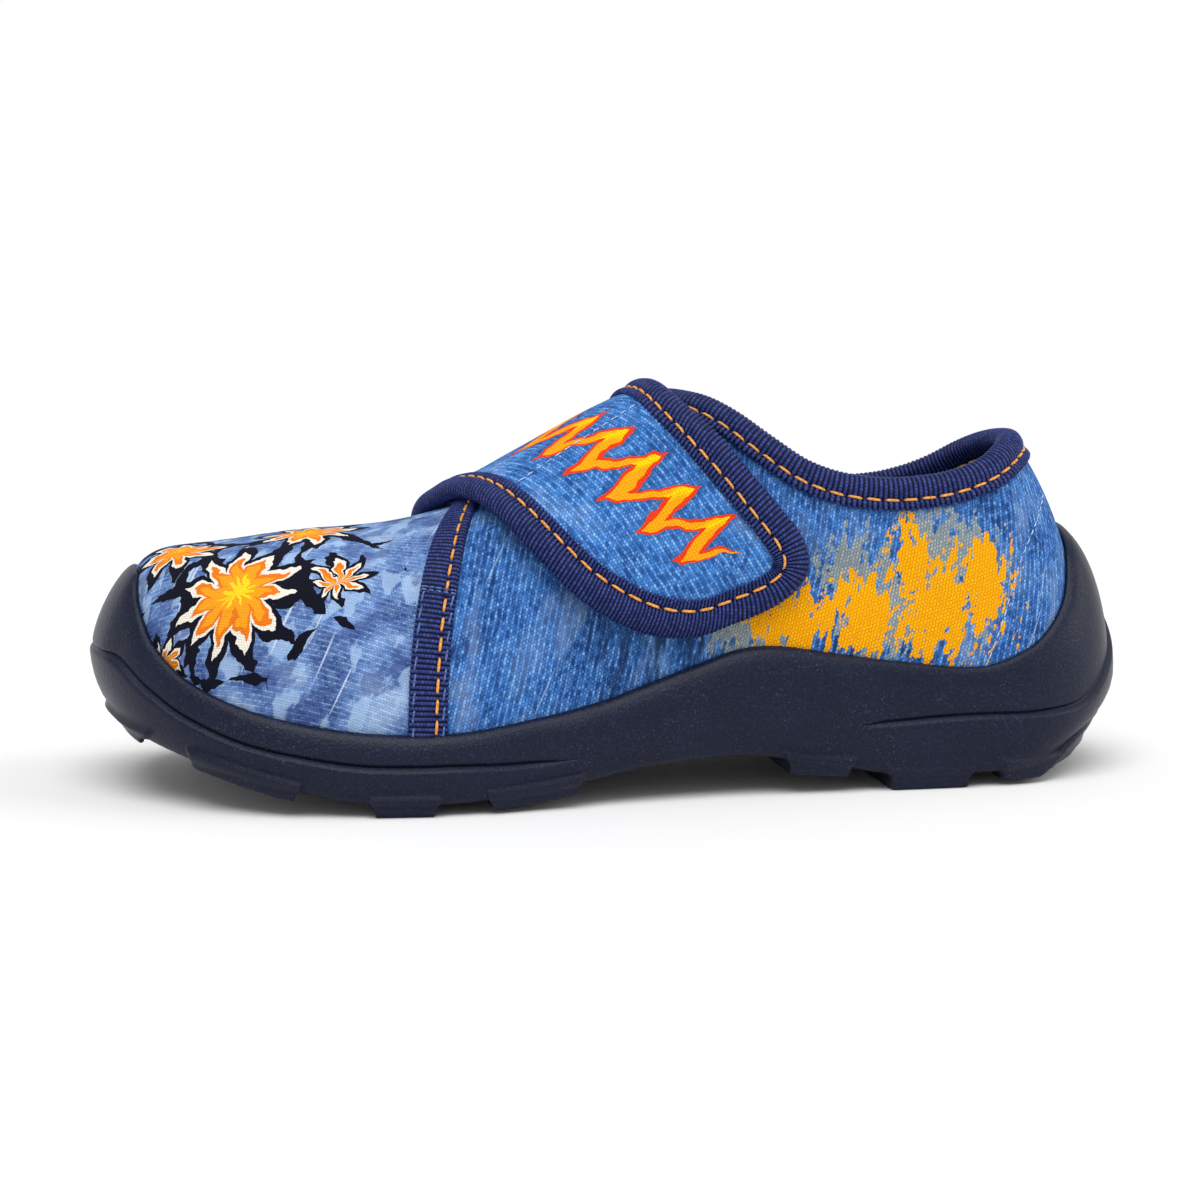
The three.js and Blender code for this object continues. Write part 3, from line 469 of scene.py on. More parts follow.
def tread_height(x):
    """The nearest lug's tread at x."""
    rear, front = place(LUG_TABLE["rear"]), place(LUG_TABLE["front"])
    x = np.asarray(x)[..., None]
    t = (x - rear) / (front - rear)
    nearest = np.abs(t - 0.5).argmin(-1)[..., None]
    t = np.clip(np.take_along_axis(t, nearest, -1)[..., 0], 0, 1)
    low, middle, high = (LUG_TABLE[c][nearest[..., 0]] * HEEL_SEAT for c in ("low", "middle", "high"))
    return low * (1 - t) * (1 - 2 * t) + 4 * middle * t * (1 - t) + high * t * (2 * t - 1)


LUG_SOFTNESS = 0.7 * MM  # over this length a lug's edge rises


def in_lug(x, z):
    """1 inside the lugs, 0 between them, with soft edges."""
    x, z = np.broadcast_arrays(x, z)
    slope = LUG_SLOPE * (1 - np.clip((z - tread_height(x)) / LUG_FACE, 0, 1))
    cover = np.zeros(x.shape)
    for rear, front in zip(place(LUG_TABLE["rear"]), place(LUG_TABLE["front"])):
        rise = smooth((x - rear - slope) / LUG_SOFTNESS)
        fall = smooth((front - slope - x) / LUG_SOFTNESS)
        cover = np.maximum(cover, rise * fall)
    return cover


# %% Stations round the sole, close together at each end of a lug
EVEN_STATIONS = 300
even = np.linspace(0, 1, EVEN_STATIONS + 1)
even_side = side_of(even, 1.0)
even_x = even_side.rib.head_x + even_side.rib.out_x * (even_side.rib.reach + even_side.lowest)
lug_ends = np.concatenate([place(LUG_TABLE["rear"]), place(LUG_TABLE["front"])])
inward = np.concatenate([np.ones(len(lug_ends) // 2), -np.ones(len(lug_ends) // 2)])
close = (lug_ends[:, None] + inward[:, None] * np.linspace(-0.2, 2, 8) * MM).ravel()
close = close[(close > even_x.min() + MM) & (close < even_x.max() - MM)]
half_turn = np.unique(np.round(np.concatenate([even, np.interp(-close, -even_x, even)]), 5))
sole_turn, outer_or_inner = round_foot(half_turn)
sole_side = side_of(sole_turn, outer_or_inner)
print("stations round the sole:", len(sole_turn))

# %% [markdown]
# Each station's rings run from the tread's rounded edge up the lug's end face, over the step to the
# band, over the crease to the roll, and up the roll to the rim. The heights are made first, then
# the overhang at each of them.

# %% The sole's skin


def sole_rings(s):
    """Heights of the rings and how far each stands out, from the bottom edge to the rim."""
    x = s.rib.head_x + s.rib.out_x * (s.rib.reach + s.lowest)
    tread = np.maximum(tread_height(x), s.bottom - HEEL_SEAT / 2 / s.hold)
    low = np.minimum(s.bottom, s.bottom + (tread - s.bottom) * in_lug(x, tread))
    pad = np.clip(tread_height(x) + LUG_FACE, low + EDGE_RADIUS + 2 * CREASE, s.step - 8 * CREASE)
    heights = [low + EDGE_RADIUS * v for v in (0, 0.12, 0.4, 1)]
    heights += [low + EDGE_RADIUS + (pad - CREASE - low - EDGE_RADIUS) * v for v in np.linspace(0, 1, 6)[1:]]
    heights += [pad + CREASE + (s.step - 6 * CREASE - pad - CREASE) * v for v in np.linspace(0, 1, 6)]
    heights += [s.step + CREASE * v for v in (-4, -2.6, -1.6, -0.7, -0.2, 0.2, 0.7, 1.6, 2.6, 4)]
    crown = s.step + 6 * CREASE
    heights += [crown + (s.rim - crown) * (1 - (1 - v) ** 1.6) for v in np.linspace(0, 1, 18)]
    z = np.stack(heights)
    out = overhang(s, z)
    at_x = s.rib.head_x + s.rib.out_x * (s.rib.reach + out)
    out = out + LUG_PROUD * in_lug(at_x, z) * (z < pad)
    inset = EDGE_RADIUS * np.array([1, 0.45, 0.12, 0])
    out[:4] -= inset[:, None]
    return z, out


ring_z, ring_out = sole_rings(sole_side)
r = sole_side.rib


def along_ribs(out, z):
    """Points at a distance past the ribs' feet and at a height."""
    return from_head(r, r.reach + out, z)


lip_z = sole_side.rim
lip_rings = [
    along_ribs(sole_side.lip - RIM_LIP * 0.35, lip_z + 0.18 * MM),
    along_ribs(sole_side.lip - RIM_LIP, lip_z + 0.05 * MM),
]
inside_climb = np.arcsin(side_curve["rim"](sole_turn) ** (r.full / 2)) * 2 / np.pi
for down in np.linspace(1, 0, 7)[1:]:
    inside = rib_point(r, inside_climb * down)
    inside[:, 0] += r.out_x * 0.1 * MM
    inside[:, 1] += r.out_y * 0.1 * MM
    inside[:, 2] -= CLEARANCE
    lip_rings.append(inside)
rings = np.concatenate([along_ribs(ring_out, ring_z), np.array(lip_rings)])
RINGS = len(rings)
count = len(sole_turn)
side_faces = grid_faces(RINGS, count, wrap_columns=True)

# %% The sole's underside and its floor inside


def across(ring, columns):
    """Points on straight lines from the outer side of a ring to its inner side, at the same station."""
    stations = len(ring) // 2 + 1
    outer = ring[:stations]
    inner = np.concatenate([ring[:1], ring[stations:][::-1], ring[stations - 1 : stations]])
    t = np.linspace(0, 1, columns + 1)[None, :, None]
    return outer[:, None] * (1 - t) + inner[:, None] * t


UNDER_COLUMNS, FLOOR_COLUMNS = 36, 8
under = across(rings[0], UNDER_COLUMNS)
width = np.linalg.norm(under[:, 0] - under[:, -1], axis=1)[:, None]
t = np.linspace(0, 1, UNDER_COLUMNS + 1)[None, :]
inboard = np.minimum(t, 1 - t) * width
level = side_of(half_turn, 1.0)
edge = level.bottom[:, None] - level.raised[:, None] * smooth(inboard / BEVEL_WIDTH)
tread = np.maximum(
    tread_height(under[..., 0]),
    edge - HEEL_SEAT / 2 / level.hold[:, None] - HEEL_SEAT / 2 * smooth(inboard / BEVEL_WIDTH),
)
under_z = np.minimum(edge, edge + (tread - edge) * in_lug(under[..., 0], tread))
under[:, 1:-1, 2] = under_z[:, 1:-1]
floor_inside = across(rings[-1], FLOOR_COLUMNS)
sole_points = np.concatenate([part.reshape(-1, 3) for part in (rings, under, floor_inside)])
floor_first = RINGS * count + under.shape[0] * under.shape[1]
sole_faces = np.concatenate(
    [
        side_faces,
        grid_faces(len(half_turn), UNDER_COLUMNS + 1, first=RINGS * count),
        grid_faces(len(half_turn), FLOOR_COLUMNS + 1, first=floor_first),
    ]
)

# %% [markdown]
# The upper is a vamp over the toes and two quarters round the heel, of canvas laminated to foam and
# lining. All of it is one wall here: the last's surface outside, the same surface 2 mm further in
# for the lining, closed along the collar and under the sole's rim. The stations crowd together
# behind the throat, where the collar's edge turns from across the foot to along it, so the edge
# stays smooth. The cloth's flat coordinates run from the ridge on the vamp, which is cut in one
# piece over the toes, and up from the sole on the quarters, which are cut as bands.

# %% Sizes of the collar and the side seams
COLLAR_TILT = 0.06  # rise of the collar's edge to the outer side, per width
SEAM_TAPE_WIDTH = 6.8 * MM  # at the sole
COLLAR_TABLE = table(
    "at rise",
    (0.485, 1.08),
    (0.468, 1.0),
    (0.456, 0.955),
    (0.44, 0.93),
    (0.416, 0.912),
    (0.391, 0.878),
    (0.355, 0.811),
    (0.316, 0.748),
    (0.276, 0.718),
    (0.234, 0.708),
    (0.191, 0.715),
    (0.157, 0.733),
    (0.128, 0.761),
    (0.104, 0.797),
    (0.082, 0.824),
    (0.055, 0.84),
    (-0.03, 0.852),
)
SEAM_TABLE = table(
    "at rise half",
    (0.715, 0.05, 0.5),
    (0.713, 0.1, 0.5),
    (0.709, 0.29, 0.5),
    (0.703, 0.405, 0.485),
    (0.692, 0.516, 0.47),
    (0.679, 0.594, 0.44),
    (0.664, 0.645, 0.41),
    (0.644, 0.683, 0.397),
    (0.615, 0.73, 0.397),
)
collar_rise = curve_of(COLLAR_TABLE, "at", "rise")
seam_at = curve_of(SEAM_TABLE, "rise", "at")
seam_half = curve_of(SEAM_TABLE, "rise", "half")


def above_collar(points):
    """How far points are above the canvas edge of the collar."""
    edge = INSTEP_HEIGHT * collar_rise(share(points[..., 0])) + COLLAR_TILT * points[..., 1]
    return points[..., 2] - edge


# %% The collar's edge on the last
ridge_x = np.linspace(place(0.4), place(0.5), 2000)
ridge = np.stack([ridge_x, centre_line(ridge_x), INSTEP_HEIGHT * ridge_curve["top"](share(ridge_x))], -1)
THROAT_X = ridge_x[np.argmax(above_collar(ridge) < 0)]
THROAT_TURN = turn_at(THROAT_X)


def collar_climb(turn, side):
    """The climb at which each rib behind the throat meets the collar's edge."""
    r = ribs_of(rib(at_turn(turn), side), (1,))
    climb = np.linspace(0.2, 1, 600)
    above = above_collar(rib_point(r, climb[None, :]))
    first = np.argmax(above > 0, axis=1)
    first = np.where((above > 0).any(1), first, len(climb) - 1)
    k = np.arange(len(first))
    a, b = above[k, first - 1], above[k, first]
    crossing = climb[first - 1] + (climb[first] - climb[first - 1]) * np.clip(-a / (b - a), 0, 1)
    return np.where((above > 0).any(1), crossing, 1.0)


# %% The wall of the upper
FRONT_STATIONS, REAR_STATIONS, UPPER_ROWS = 150, 130, 64
front_turn = THROAT_TURN * np.linspace(0, 1, FRONT_STATIONS + 1)[:-1]
rear_turn = THROAT_TURN + (1 - THROAT_TURN) * np.linspace(0, 1, REAR_STATIONS + 1) ** 1.7
half = np.concatenate([front_turn, rear_turn])
upper_turn, upper_side = round_foot(half)
behind = upper_turn >= THROAT_TURN
top_climb = np.where(behind, collar_climb(upper_turn, upper_side), 1.0)
upper_ribs = ribs_of(rib(at_turn(upper_turn), upper_side), (1,))
row_climb = top_climb[:, None] * np.linspace(0, 1, UPPER_ROWS + 1)[None, :]
outside = rib_point(upper_ribs, row_climb)


def seam_distance(points):
    """How far points are in front of the side seam, seen from the side."""
    return points[..., 0] - place(seam_at(points[..., 2] / INSTEP_HEIGHT))


def arc_from(points, axis):
    """Distances along a grid of points, from its first row or column."""
    step = np.linalg.norm(np.diff(points, axis=axis), axis=-1)
    zero = np.zeros_like(np.take(step, [0], axis))
    return np.concatenate([zero, np.cumsum(step, axis)], axis)


# each soft fold's middle in mm, its side, lean in degrees, and half length, half width and lift in mm
CREASE_TABLE = table(
    "x z side lean long wide lift",
    (5, 20, 1, 78, 7, 1.3, -0.6),
    (9, 20, 1, 74, 6, 1.5, 0.4),
    (-1, 23, 1, 76, 7, 1.2, -0.5),
    (-7, 30, 1, 68, 7, 1.6, -0.5),
    (16, 32, 1, 58, 13, 3.5, -0.5),
    (24, 28, 1, 62, 10, 3, 0.35),
    (-33, 47, 1, 12, 12, 2.8, 0.45),
    (-40, 38, 1, 5, 14, 3.5, -0.4),
    (-66, 53, 1, 100, 6, 1.5, -0.6),
    (-71, 51, 1, 98, 7, 1.8, 0.45),
    (-60, 50, 1, 92, 6, 2, 0.3),
    (77, 25, 1, -35, 9, 3, -0.35),
    (62, 37, 1, -8, 13, 3.5, 0.4),
    (52, 24, 1, 70, 9, 3, 0.35),
    (3, 22, -1, 76, 8, 1.5, -0.5),
    (-4, 24, -1, 80, 7, 1.6, 0.4),
    (-64, 52, -1, 96, 7, 1.8, -0.5),
    (-30, 44, -1, 8, 14, 3, 0.4),
    (70, 27, -1, -25, 11, 3.2, -0.4),
)

from_foot = arc_from(outside, 1)
full_girth = arc_from(rib_point(upper_ribs, np.linspace(0, 1, UPPER_ROWS + 1)[None, :]), 1)[:, -1:]
from_ridge = full_girth - from_foot
vamp_cloth = from_head(upper_ribs, from_ridge)
round_heel = arc_from(outside[:, UPPER_ROWS // 3], 0)
round_heel = np.where(upper_side > 0, round_heel, round_heel[-1] - round_heel)
quarter_cloth = np.stack(np.broadcast_arrays(round_heel[:, None], from_foot), -1)

_, outer_normals = on_last(outside)
inner_points = outside - outer_normals * WALL
sides = np.sign(outside[..., 1] - centre_line(outside[..., 0]))
for x, z, side, lean, long, wide, lift in zip(*CREASE_TABLE.values()):
    run, rise = outside[..., 0] - x * MM, outside[..., 2] - z * MM
    cos, sin = np.cos(np.radians(lean)), np.sin(np.radians(lean))
    along, aside = (run * cos + rise * sin) / long / MM, (rise * cos - run * sin) / wide / MM
    fold = lift * MM * np.exp(-(along**4) - aside**2) * smooth(sides * side)
    outside = outside + outer_normals * fold[..., None]
wall_faces = grid_faces(len(upper_turn), UPPER_ROWS + 1, wrap_rows=True)
centres = outside.reshape(-1, 3)[wall_faces].mean(1)
in_vamp = seam_distance(centres) > 0
corner_cloth = np.where(
    in_vamp[:, None, None],
    vamp_cloth.reshape(-1, 2)[wall_faces],
    quarter_cloth.reshape(-1, 2)[wall_faces],
)
points_of_wall = outside.shape[0] * outside.shape[1]


def closing(row, rows):
    """Faces that join the outside's and the inside's points of one row."""
    a = np.arange(rows[0], rows[1]) % len(upper_turn)
    b = (a + 1) % len(upper_turn)
    stride = UPPER_ROWS + 1
    return np.stack([a, b, b + points_of_wall // stride, a + points_of_wall // stride], -1) * stride + row


collar_faces = closing(UPPER_ROWS, (FRONT_STATIONS, FRONT_STATIONS + 2 * REAR_STATIONS))
foot_faces = closing(0, (0, len(upper_turn)))
upper_faces = np.concatenate([wall_faces, wall_faces + points_of_wall, collar_faces, foot_faces])
upper_points = np.concatenate([outside.reshape(-1, 3), inner_points.reshape(-1, 3)])
inner_cloth = quarter_cloth.reshape(-1, 2)[wall_faces]
edge_cloth = np.tile(quarter_cloth.reshape(-1, 2), (2, 1))[np.concatenate([collar_faces, foot_faces])]
upper_cloth = np.concatenate([corner_cloth, inner_cloth, edge_cloth])
VAMP, QUARTER, LINING = 0, 1, 2
upper_finish = np.full(len(upper_faces), LINING)
upper_finish[: len(wall_faces)] = np.where(in_vamp, VAMP, QUARTER)

# %% [markdown]
# A ribbed tape is folded over the collar's cut edge and stitched through. Its ribs are real ridges
# here, because they catch the light and scallop the tape's edge. The tape is one section, a small
# closed outline, swept along the edge. The part that lies on the canvas is laid on the last, the
# fold stands off the edge itself.

# %% Lines along the last and sections swept on them
RIB_PITCH = 0.9 * MM  # of the grosgrain's ribs
RIB_DEPTH = 0.26 * MM
RIB_SAMPLES = 4


def resampled(points, step, closed=False):
    """A line of points at even steps."""
    line = np.concatenate([points, points[:1]]) if closed else points
    gone = arc_from(line, 0)
    steps = max(int(round(gone[-1] / step)), 2)
    at = np.linspace(0, gone[-1], steps + 1)
    even_line = np.stack([np.interp(at, gone, line[:, k]) for k in range(line.shape[1])], -1)
    return even_line[:-1] if closed else even_line


def softened(points, passes, closed=False):
    """A line with its small kinks worn off. An open line keeps its ends."""
    points = points.copy()
    for _ in range(passes):
        moved = (np.roll(points, 1, 0) + 2 * points + np.roll(points, -1, 0)) / 4
        if not closed:
            moved[0], moved[-1] = points[0], points[-1]
        points = moved
    return points


def directions(points, closed=False):
    """Unit directions along a line."""
    if closed:
        run = np.roll(points, -1, 0) - np.roll(points, 1, 0)
    else:
        run = np.gradient(points, axis=0)
    return run / np.linalg.norm(run, axis=1, keepdims=True)


def section_of(*corners):
    """A closed outline through corners in mm, its corners cut soft once, with its outward directions."""
    line = np.array(corners, float) * MM
    after = np.roll(line, -1, 0)
    line = np.stack([line * 0.75 + after * 0.25, line * 0.25 + after * 0.75], 1).reshape(-1, 2)
    run = directions(line, closed=True)
    out = np.stack([run[:, 1], -run[:, 0]], -1)
    area = (line[:, 0] * np.roll(line[:, 1], -1) - np.roll(line[:, 0], -1) * line[:, 1]).sum()
    return line, out * np.sign(area)


def ribs_on(count, section, out, show):
    """The section at each of many places along a tape, with the ribs' ridges added where show is 1."""
    phase = np.abs(np.sin(np.pi * np.arange(count) / RIB_SAMPLES)) - 0.6
    return section[None] + out[None] * (RIB_DEPTH * phase[:, None, None] * show[None, :, None])


def swept(points, section, closed):
    """Faces of a section swept along a line, its ends closed if the line is open, and the tape's flat
    coordinates: across the tape and then along it."""
    rows, columns = points.shape[:2]
    faces = grid_faces(rows, columns, wrap_rows=closed, wrap_columns=True)
    around = arc_from(np.concatenate([section, section[:1]]), 0)
    i = np.arange(rows if closed else rows - 1)[:, None, None]
    j = np.arange(columns)[None, :, None]
    over_tape, along_tape = around[j + np.array([0, 1, 1, 0])], (i + np.array([0, 0, 1, 1])) * RIB_STEP
    corners = np.broadcast_arrays(over_tape, along_tape)
    cloth = np.stack(corners, -1).reshape(-1, 4, 2)
    if closed:
        return faces, cloth
    ends = end_faces(rows, columns)
    return np.concatenate([faces, ends]), np.concatenate([cloth, np.zeros((len(ends), 4, 2))])


def end_faces(rows, columns):
    """Four-sided faces that close both ends of a swept section, from one half of it to the other."""
    k = np.arange(columns // 2 - 1)
    strip = np.stack([k, k + 1, columns - 2 - k, columns - 1 - k], -1)
    return np.concatenate([strip, strip + (rows - 1) * columns])


# %% The collar's line
edge_turn = THROAT_TURN + (1 - THROAT_TURN) * np.linspace(0, 1, 700) ** 1.8
edge_outer = rib_point(rib(at_turn(edge_turn), 1.0), collar_climb(edge_turn, 1.0))
edge_inner = rib_point(rib(at_turn(edge_turn), -1.0), collar_climb(edge_turn, -1.0))
collar_edge = np.concatenate([edge_outer, edge_inner[-2:0:-1]])
RIB_STEP = RIB_PITCH / RIB_SAMPLES
collar_edge = softened(resampled(collar_edge, RIB_STEP, closed=True), 60, closed=True)
collar_edge, collar_normal = on_last(resampled(collar_edge, RIB_STEP, closed=True))
collar_run = directions(collar_edge, closed=True)
collar_up = np.cross(collar_normal, collar_run)
collar_up *= np.sign(collar_up[len(collar_up) // 2, 2])
print("collar edge, mm:", round(len(collar_edge) * RIB_STEP / MM, 1), "throat x mm:", round(THROAT_X / MM, 1))


def laid(line, normal, up, section):
    """Sections along a line on the last. Each has down, the way down the cloth, and lift, the height over
    it. Above the line, where down is less than 0, the section stands off the line itself."""
    down, lift = section[..., 0:1], section[..., 1:2]
    aside = line[:, None] - up[:, None] * down
    standing = aside + normal[:, None] * lift
    on_cloth, _ = on_last(aside, lift[..., 0])
    blend = smooth(down / MM + 0.5)
    return standing * (1 - blend) + on_cloth * blend


COLLAR_SECTION, COLLAR_OUT = section_of(
    (5.25, 0.05), (5.35, 0.7), (5.0, 1.05), (4.4, 1.05), (3.9, 0.8), (3.6, 0.3), (3.2, 0.85), (2.7, 1.2),
    (1.8, 1.4), (0.8, 1.35), (0, 1.0), (-0.7, 0.35), (-1.0, -0.5), (-1.0, -1.5), (-0.7, -2.35),
    (0, -2.95), (1.0, -3.2),
    (2.7, -3.1), (3.3, -2.8), (3.6, -2.3), (3.9, -2.75), (4.4, -3.0), (4.9, -2.8), (5.0, -2.1), (3.0, -2.05),
    (0.4, -2.05), (0.1, -1.8), (0.1, -0.2), (0.4, 0.05), (3.0, 0.05),
)


def shown_ribs(section, out, flange, hidden):
    """How strong the ribs are round a section: none on its hidden side, strongest at the flange's edge."""
    strength = np.where(section[:, 0] > flange, 1.3 + 2.4 * np.clip(out[:, 0], 0, 1), 1.0)
    return np.where(hidden, 0.0, strength)


over, under_it = COLLAR_SECTION[:, 1] > 0.2 * MM, COLLAR_SECTION[:, 1] < -2.15 * MM
hidden = ~over & ~under_it & (COLLAR_SECTION[:, 0] > -0.2 * MM)
collar_show = shown_ribs(COLLAR_SECTION, COLLAR_OUT, 4.0 * MM, hidden)
collar_ribs = ribs_on(len(collar_edge), COLLAR_SECTION, COLLAR_OUT, collar_show)
collar_points = laid(collar_edge, collar_normal, collar_up, collar_ribs)

# %% The side seams' lines
SEAM_RISE = (0.07, 0.7)  # from the foot of the tape to its top, in instep heights


def seam_line(side, rise_from, rise_to):
    """The middle of a side seam on the last, with the last's direction and the way across the seam."""
    rise = np.linspace(rise_from, rise_to, 400)
    line = resampled(on_side(place(seam_at(rise)), rise * INSTEP_HEIGHT, side), RIB_STEP)
    line = resampled(softened(line, 30), RIB_STEP)
    line, normal = on_last(line)
    rear = np.cross(directions(line), normal)
    rear *= -np.sign(rear[:, :1])
    return line, normal, rear


SEAM_SECTION, SEAM_OUT = section_of(
    (-3.35, 0.0), (-3.45, 0.5), (-3.1, 0.9), (-2.2, 1.0), (-0.8, 1.05), (0.6, 1.05), (1.1, 0.9), (1.45, 0.55),
    (1.8, 0.9), (2.4, 1.0), (3.0, 0.9), (3.4, 0.5), (3.35, 0.0), (0.0, 0.0),
)


def seam_width(line):
    """The tape's width along a seam, against its width at the sole."""
    return seam_half(line[:, 2] / INSTEP_HEIGHT) * 2


def seam_tape_points(side):
    line, _, rear = seam_line(side, *SEAM_RISE)
    section = ribs_on(len(line), SEAM_SECTION, SEAM_OUT, (SEAM_SECTION[:, 1] > 0.3 * MM) * 1.2)
    section[..., 0] *= seam_width(line)[:, None]
    aside = line[:, None] + rear[:, None] * section[..., 0:1]
    points, _ = on_last(aside, section[..., 1])
    return points


# %% [markdown]
# The strap is cut flat from the same laminate and bent over the instep. Its flat outline is given
# by where its two edges are at each distance down the foot, and its free end is a round tip, given
# point by point. To drape it, each flat point is carried along the ridge and then down a rib of the
# last by its own distance, so that lengths stay true. Its free end lies on the canvas, and higher
# up it rides over the tapes below it.

# %% Sizes of the strap
TAPE_THICKNESS = 0.7 * MM
STRAP_THICKNESS = 1.4 * MM
STRAP_WIDTH = 30.6 * MM  # of its free end
STRAP_CENTRE = 0.573  # where its centre crosses the ridge, a share of the upper's length
RIDGE_SLOPE = np.radians(28)  # the ridge's slope under the strap
SEATED_OUTER = (0.67, 0.82)  # the drops between which the strap comes down off the tapes below it
SEATED_INNER = (0.46, 0.6)
FRONT_SEATED = 0.5  # share of the width in front of which it lies down on the vamp, on the inner side
STRAP_TABLE = table(
    "drop rear front",
    (-0.97, -0.56, 0.62),
    (-0.77, -0.6, 0.66),
    (-0.6, -0.645, 0.685),
    (-0.47, -0.68, 0.735),
    (-0.3, -0.735, 0.8),
    (-0.15, -0.77, 0.77),
    (-0.07, -0.785, 0.72),
    (0, -0.8, 0.65),
    (0.15, -0.87, 0.485),
    (0.28, -1.02, 0.35),
    (0.42, -1.2, 0.185),
    (0.56, -1.4, -0.02),
)
# its free end, from the front edge round to the rear edge
FREE_END = table(
    "along drop",
    (-0.15, 0.625),
    (-0.3, 0.685),
    (-0.45, 0.735),
    (-0.63, 0.78),
    (-0.83, 0.812),
    (-1.03, 0.828),
    (-1.22, 0.825),
    (-1.39, 0.806),
    (-1.51, 0.771),
    (-1.56, 0.715),
    (-1.53, 0.655),
    (-1.475, 0.61),
)
STRAP_BASE = TAPE_THICKNESS + CLEARANCE

# %% Draping


def outline_place(ridge_at):
    """The outline place whose rib runs up to a place on the ridge."""
    rear = (HEEL_X + HEEL_FAN_LENGTH - ridge_at) / HEEL_FAN_LENGTH
    fore = (ridge_at - (TOE_X - TOE_FAN_LENGTH)) / TOE_FAN_LENGTH
    behind_fan = HEEL_X + HEEL_FAN_LENGTH * np.sqrt(np.maximum(1 - 2 * rear, 0))
    before_fan = TOE_X - TOE_FAN_LENGTH * np.sqrt(np.maximum(1 - 2 * fore, 0))
    return np.where(rear > 0, behind_fan, np.where(fore > 0, before_fan, ridge_at))


def draped(ridge_at, down):
    """Points of the last by their place along the ridge and the distance down the rib from there."""
    r = rib(outline_place(ridge_at), np.where(down >= 0, 1.0, -1.0))
    climb = np.linspace(1, 0, 61)
    gone = arc_from(rib_point(ribs_of(r, (1,)), climb[None, :]), 1)
    want = np.abs(down)
    k = np.clip((gone < want[:, None]).sum(1), 1, len(climb) - 1)
    row = np.arange(len(k))
    part = np.clip((want - gone[row, k - 1]) / (gone[row, k] - gone[row, k - 1]), 0, 1)
    found = climb[k - 1] + (climb[k] - climb[k - 1]) * part
    return rib_point(r, found)


girth_rib = ribs_of(rib(np.array([place(STRAP_CENTRE)]), 1.0), (1,))
HALF_GIRTH = arc_from(rib_point(girth_rib, np.linspace(1, 0, 200)[None, :]), 1)[0, -1]


def strap_point(flat, lift):
    """Points of the strap's layers: along the ridge, down the ribs, and lifted off whatever it lies on."""
    shape = flat.shape[:-1]
    along, down = flat[..., 0].ravel(), flat[..., 1].ravel()
    ridge_at = place(STRAP_CENTRE) + along * np.cos(RIDGE_SLOPE)
    step = MM
    along_ridge = draped(ridge_at + step, down) - draped(ridge_at - step, down)
    along_rib = draped(ridge_at, down + step) - draped(ridge_at, down - step)
    normal = np.cross(along_ridge, along_rib)
    normal /= np.linalg.norm(normal, axis=1, keepdims=True)
    drop = down / HALF_GIRTH
    low, high = (np.where(drop > 0, *ends) for ends in zip(SEATED_OUTER, SEATED_INNER))
    seated = smooth((np.abs(drop) - low) / (high - low))
    at_front = smooth((along / STRAP_WIDTH - FRONT_SEATED) / 0.25) * smooth(1 - (drop + 0.1) / 0.2)
    seated = np.maximum(seated, at_front)
    over_tapes = (TAPE_THICKNESS + 2 * CLEARANCE) * (1 - seated)
    height = CLEARANCE + over_tapes + np.broadcast_to(lift, shape).ravel()
    return (draped(ridge_at, down) + normal * height[:, None]).reshape(shape + (3,))


# %% The strap's flat outline
STRAP_END = -0.885  # the drop at which the strap reaches the sole's rim on the inner side
drops = np.linspace(STRAP_END, STRAP_TABLE["drop"].max(), 160)
front_edge, rear_edge = (
    np.stack([curve_of(STRAP_TABLE, "drop", column)(drops), drops], -1) for column in ("front", "rear")
)
round_end = np.stack([FREE_END["along"], FREE_END["drop"]], -1)
strap_outline = np.concatenate([front_edge, round_end, rear_edge[::-1]]) * [STRAP_WIDTH, HALF_GIRTH]
END_PASSES = 300  # they wear the free end's corners round
strap_outline = resampled(softened(resampled(strap_outline, RIB_STEP), END_PASSES), RIB_STEP)
strap_inward = directions(strap_outline)[:, ::-1] * np.array([-1, 1])
half_way = len(strap_outline) // 4
strap_inward *= np.sign((strap_outline.mean(0) - strap_outline[half_way]) @ strap_inward[half_way])
strap_edge = len(strap_outline) * RIB_STEP
print("strap edge, mm:", round(strap_edge / MM, 1), "half girth mm:", round(HALF_GIRTH / MM, 1))

# %% The strap and its tape
STRAP_ROWS, STRAP_COLUMNS = 150, 44
STRAP_HEM = 2.2 * MM  # the strap's cut edge lies this far inside its tape's fold


def half_of(line, reverse=False):
    """One half of the outline, from the sewn end to the tip, in rows."""
    part = line[::-1] if reverse else line
    gone = np.linspace(0, (len(part) - 1) / 2, STRAP_ROWS + 1)
    index = np.arange(len(part))
    return np.stack([np.interp(gone, index, part[:, k]) for k in range(2)], -1)


hem = strap_outline + strap_inward * STRAP_HEM
front_hem, rear_hem = half_of(hem), half_of(hem, reverse=True)
t = np.linspace(0, 1, STRAP_COLUMNS + 1)[None, :, None]
strap_flat = front_hem[:, None] * (1 - t) + rear_hem[:, None] * t
strap_top = strap_point(strap_flat, STRAP_BASE + STRAP_THICKNESS)
strap_under = strap_point(strap_flat, STRAP_BASE)
layer = grid_faces(STRAP_ROWS + 1, STRAP_COLUMNS + 1)
strap_count = (STRAP_ROWS + 1) * (STRAP_COLUMNS + 1)


def rim_of_grid(rows, columns):
    """The point numbers round the edge of a grid, in order."""
    top = np.arange(columns)
    right = np.arange(rows) * columns + columns - 1
    bottom = (rows - 1) * columns + np.arange(columns)[::-1]
    left = np.arange(rows)[::-1] * columns
    return np.concatenate([top[:-1], right[:-1], bottom[:-1], left[:-1]])


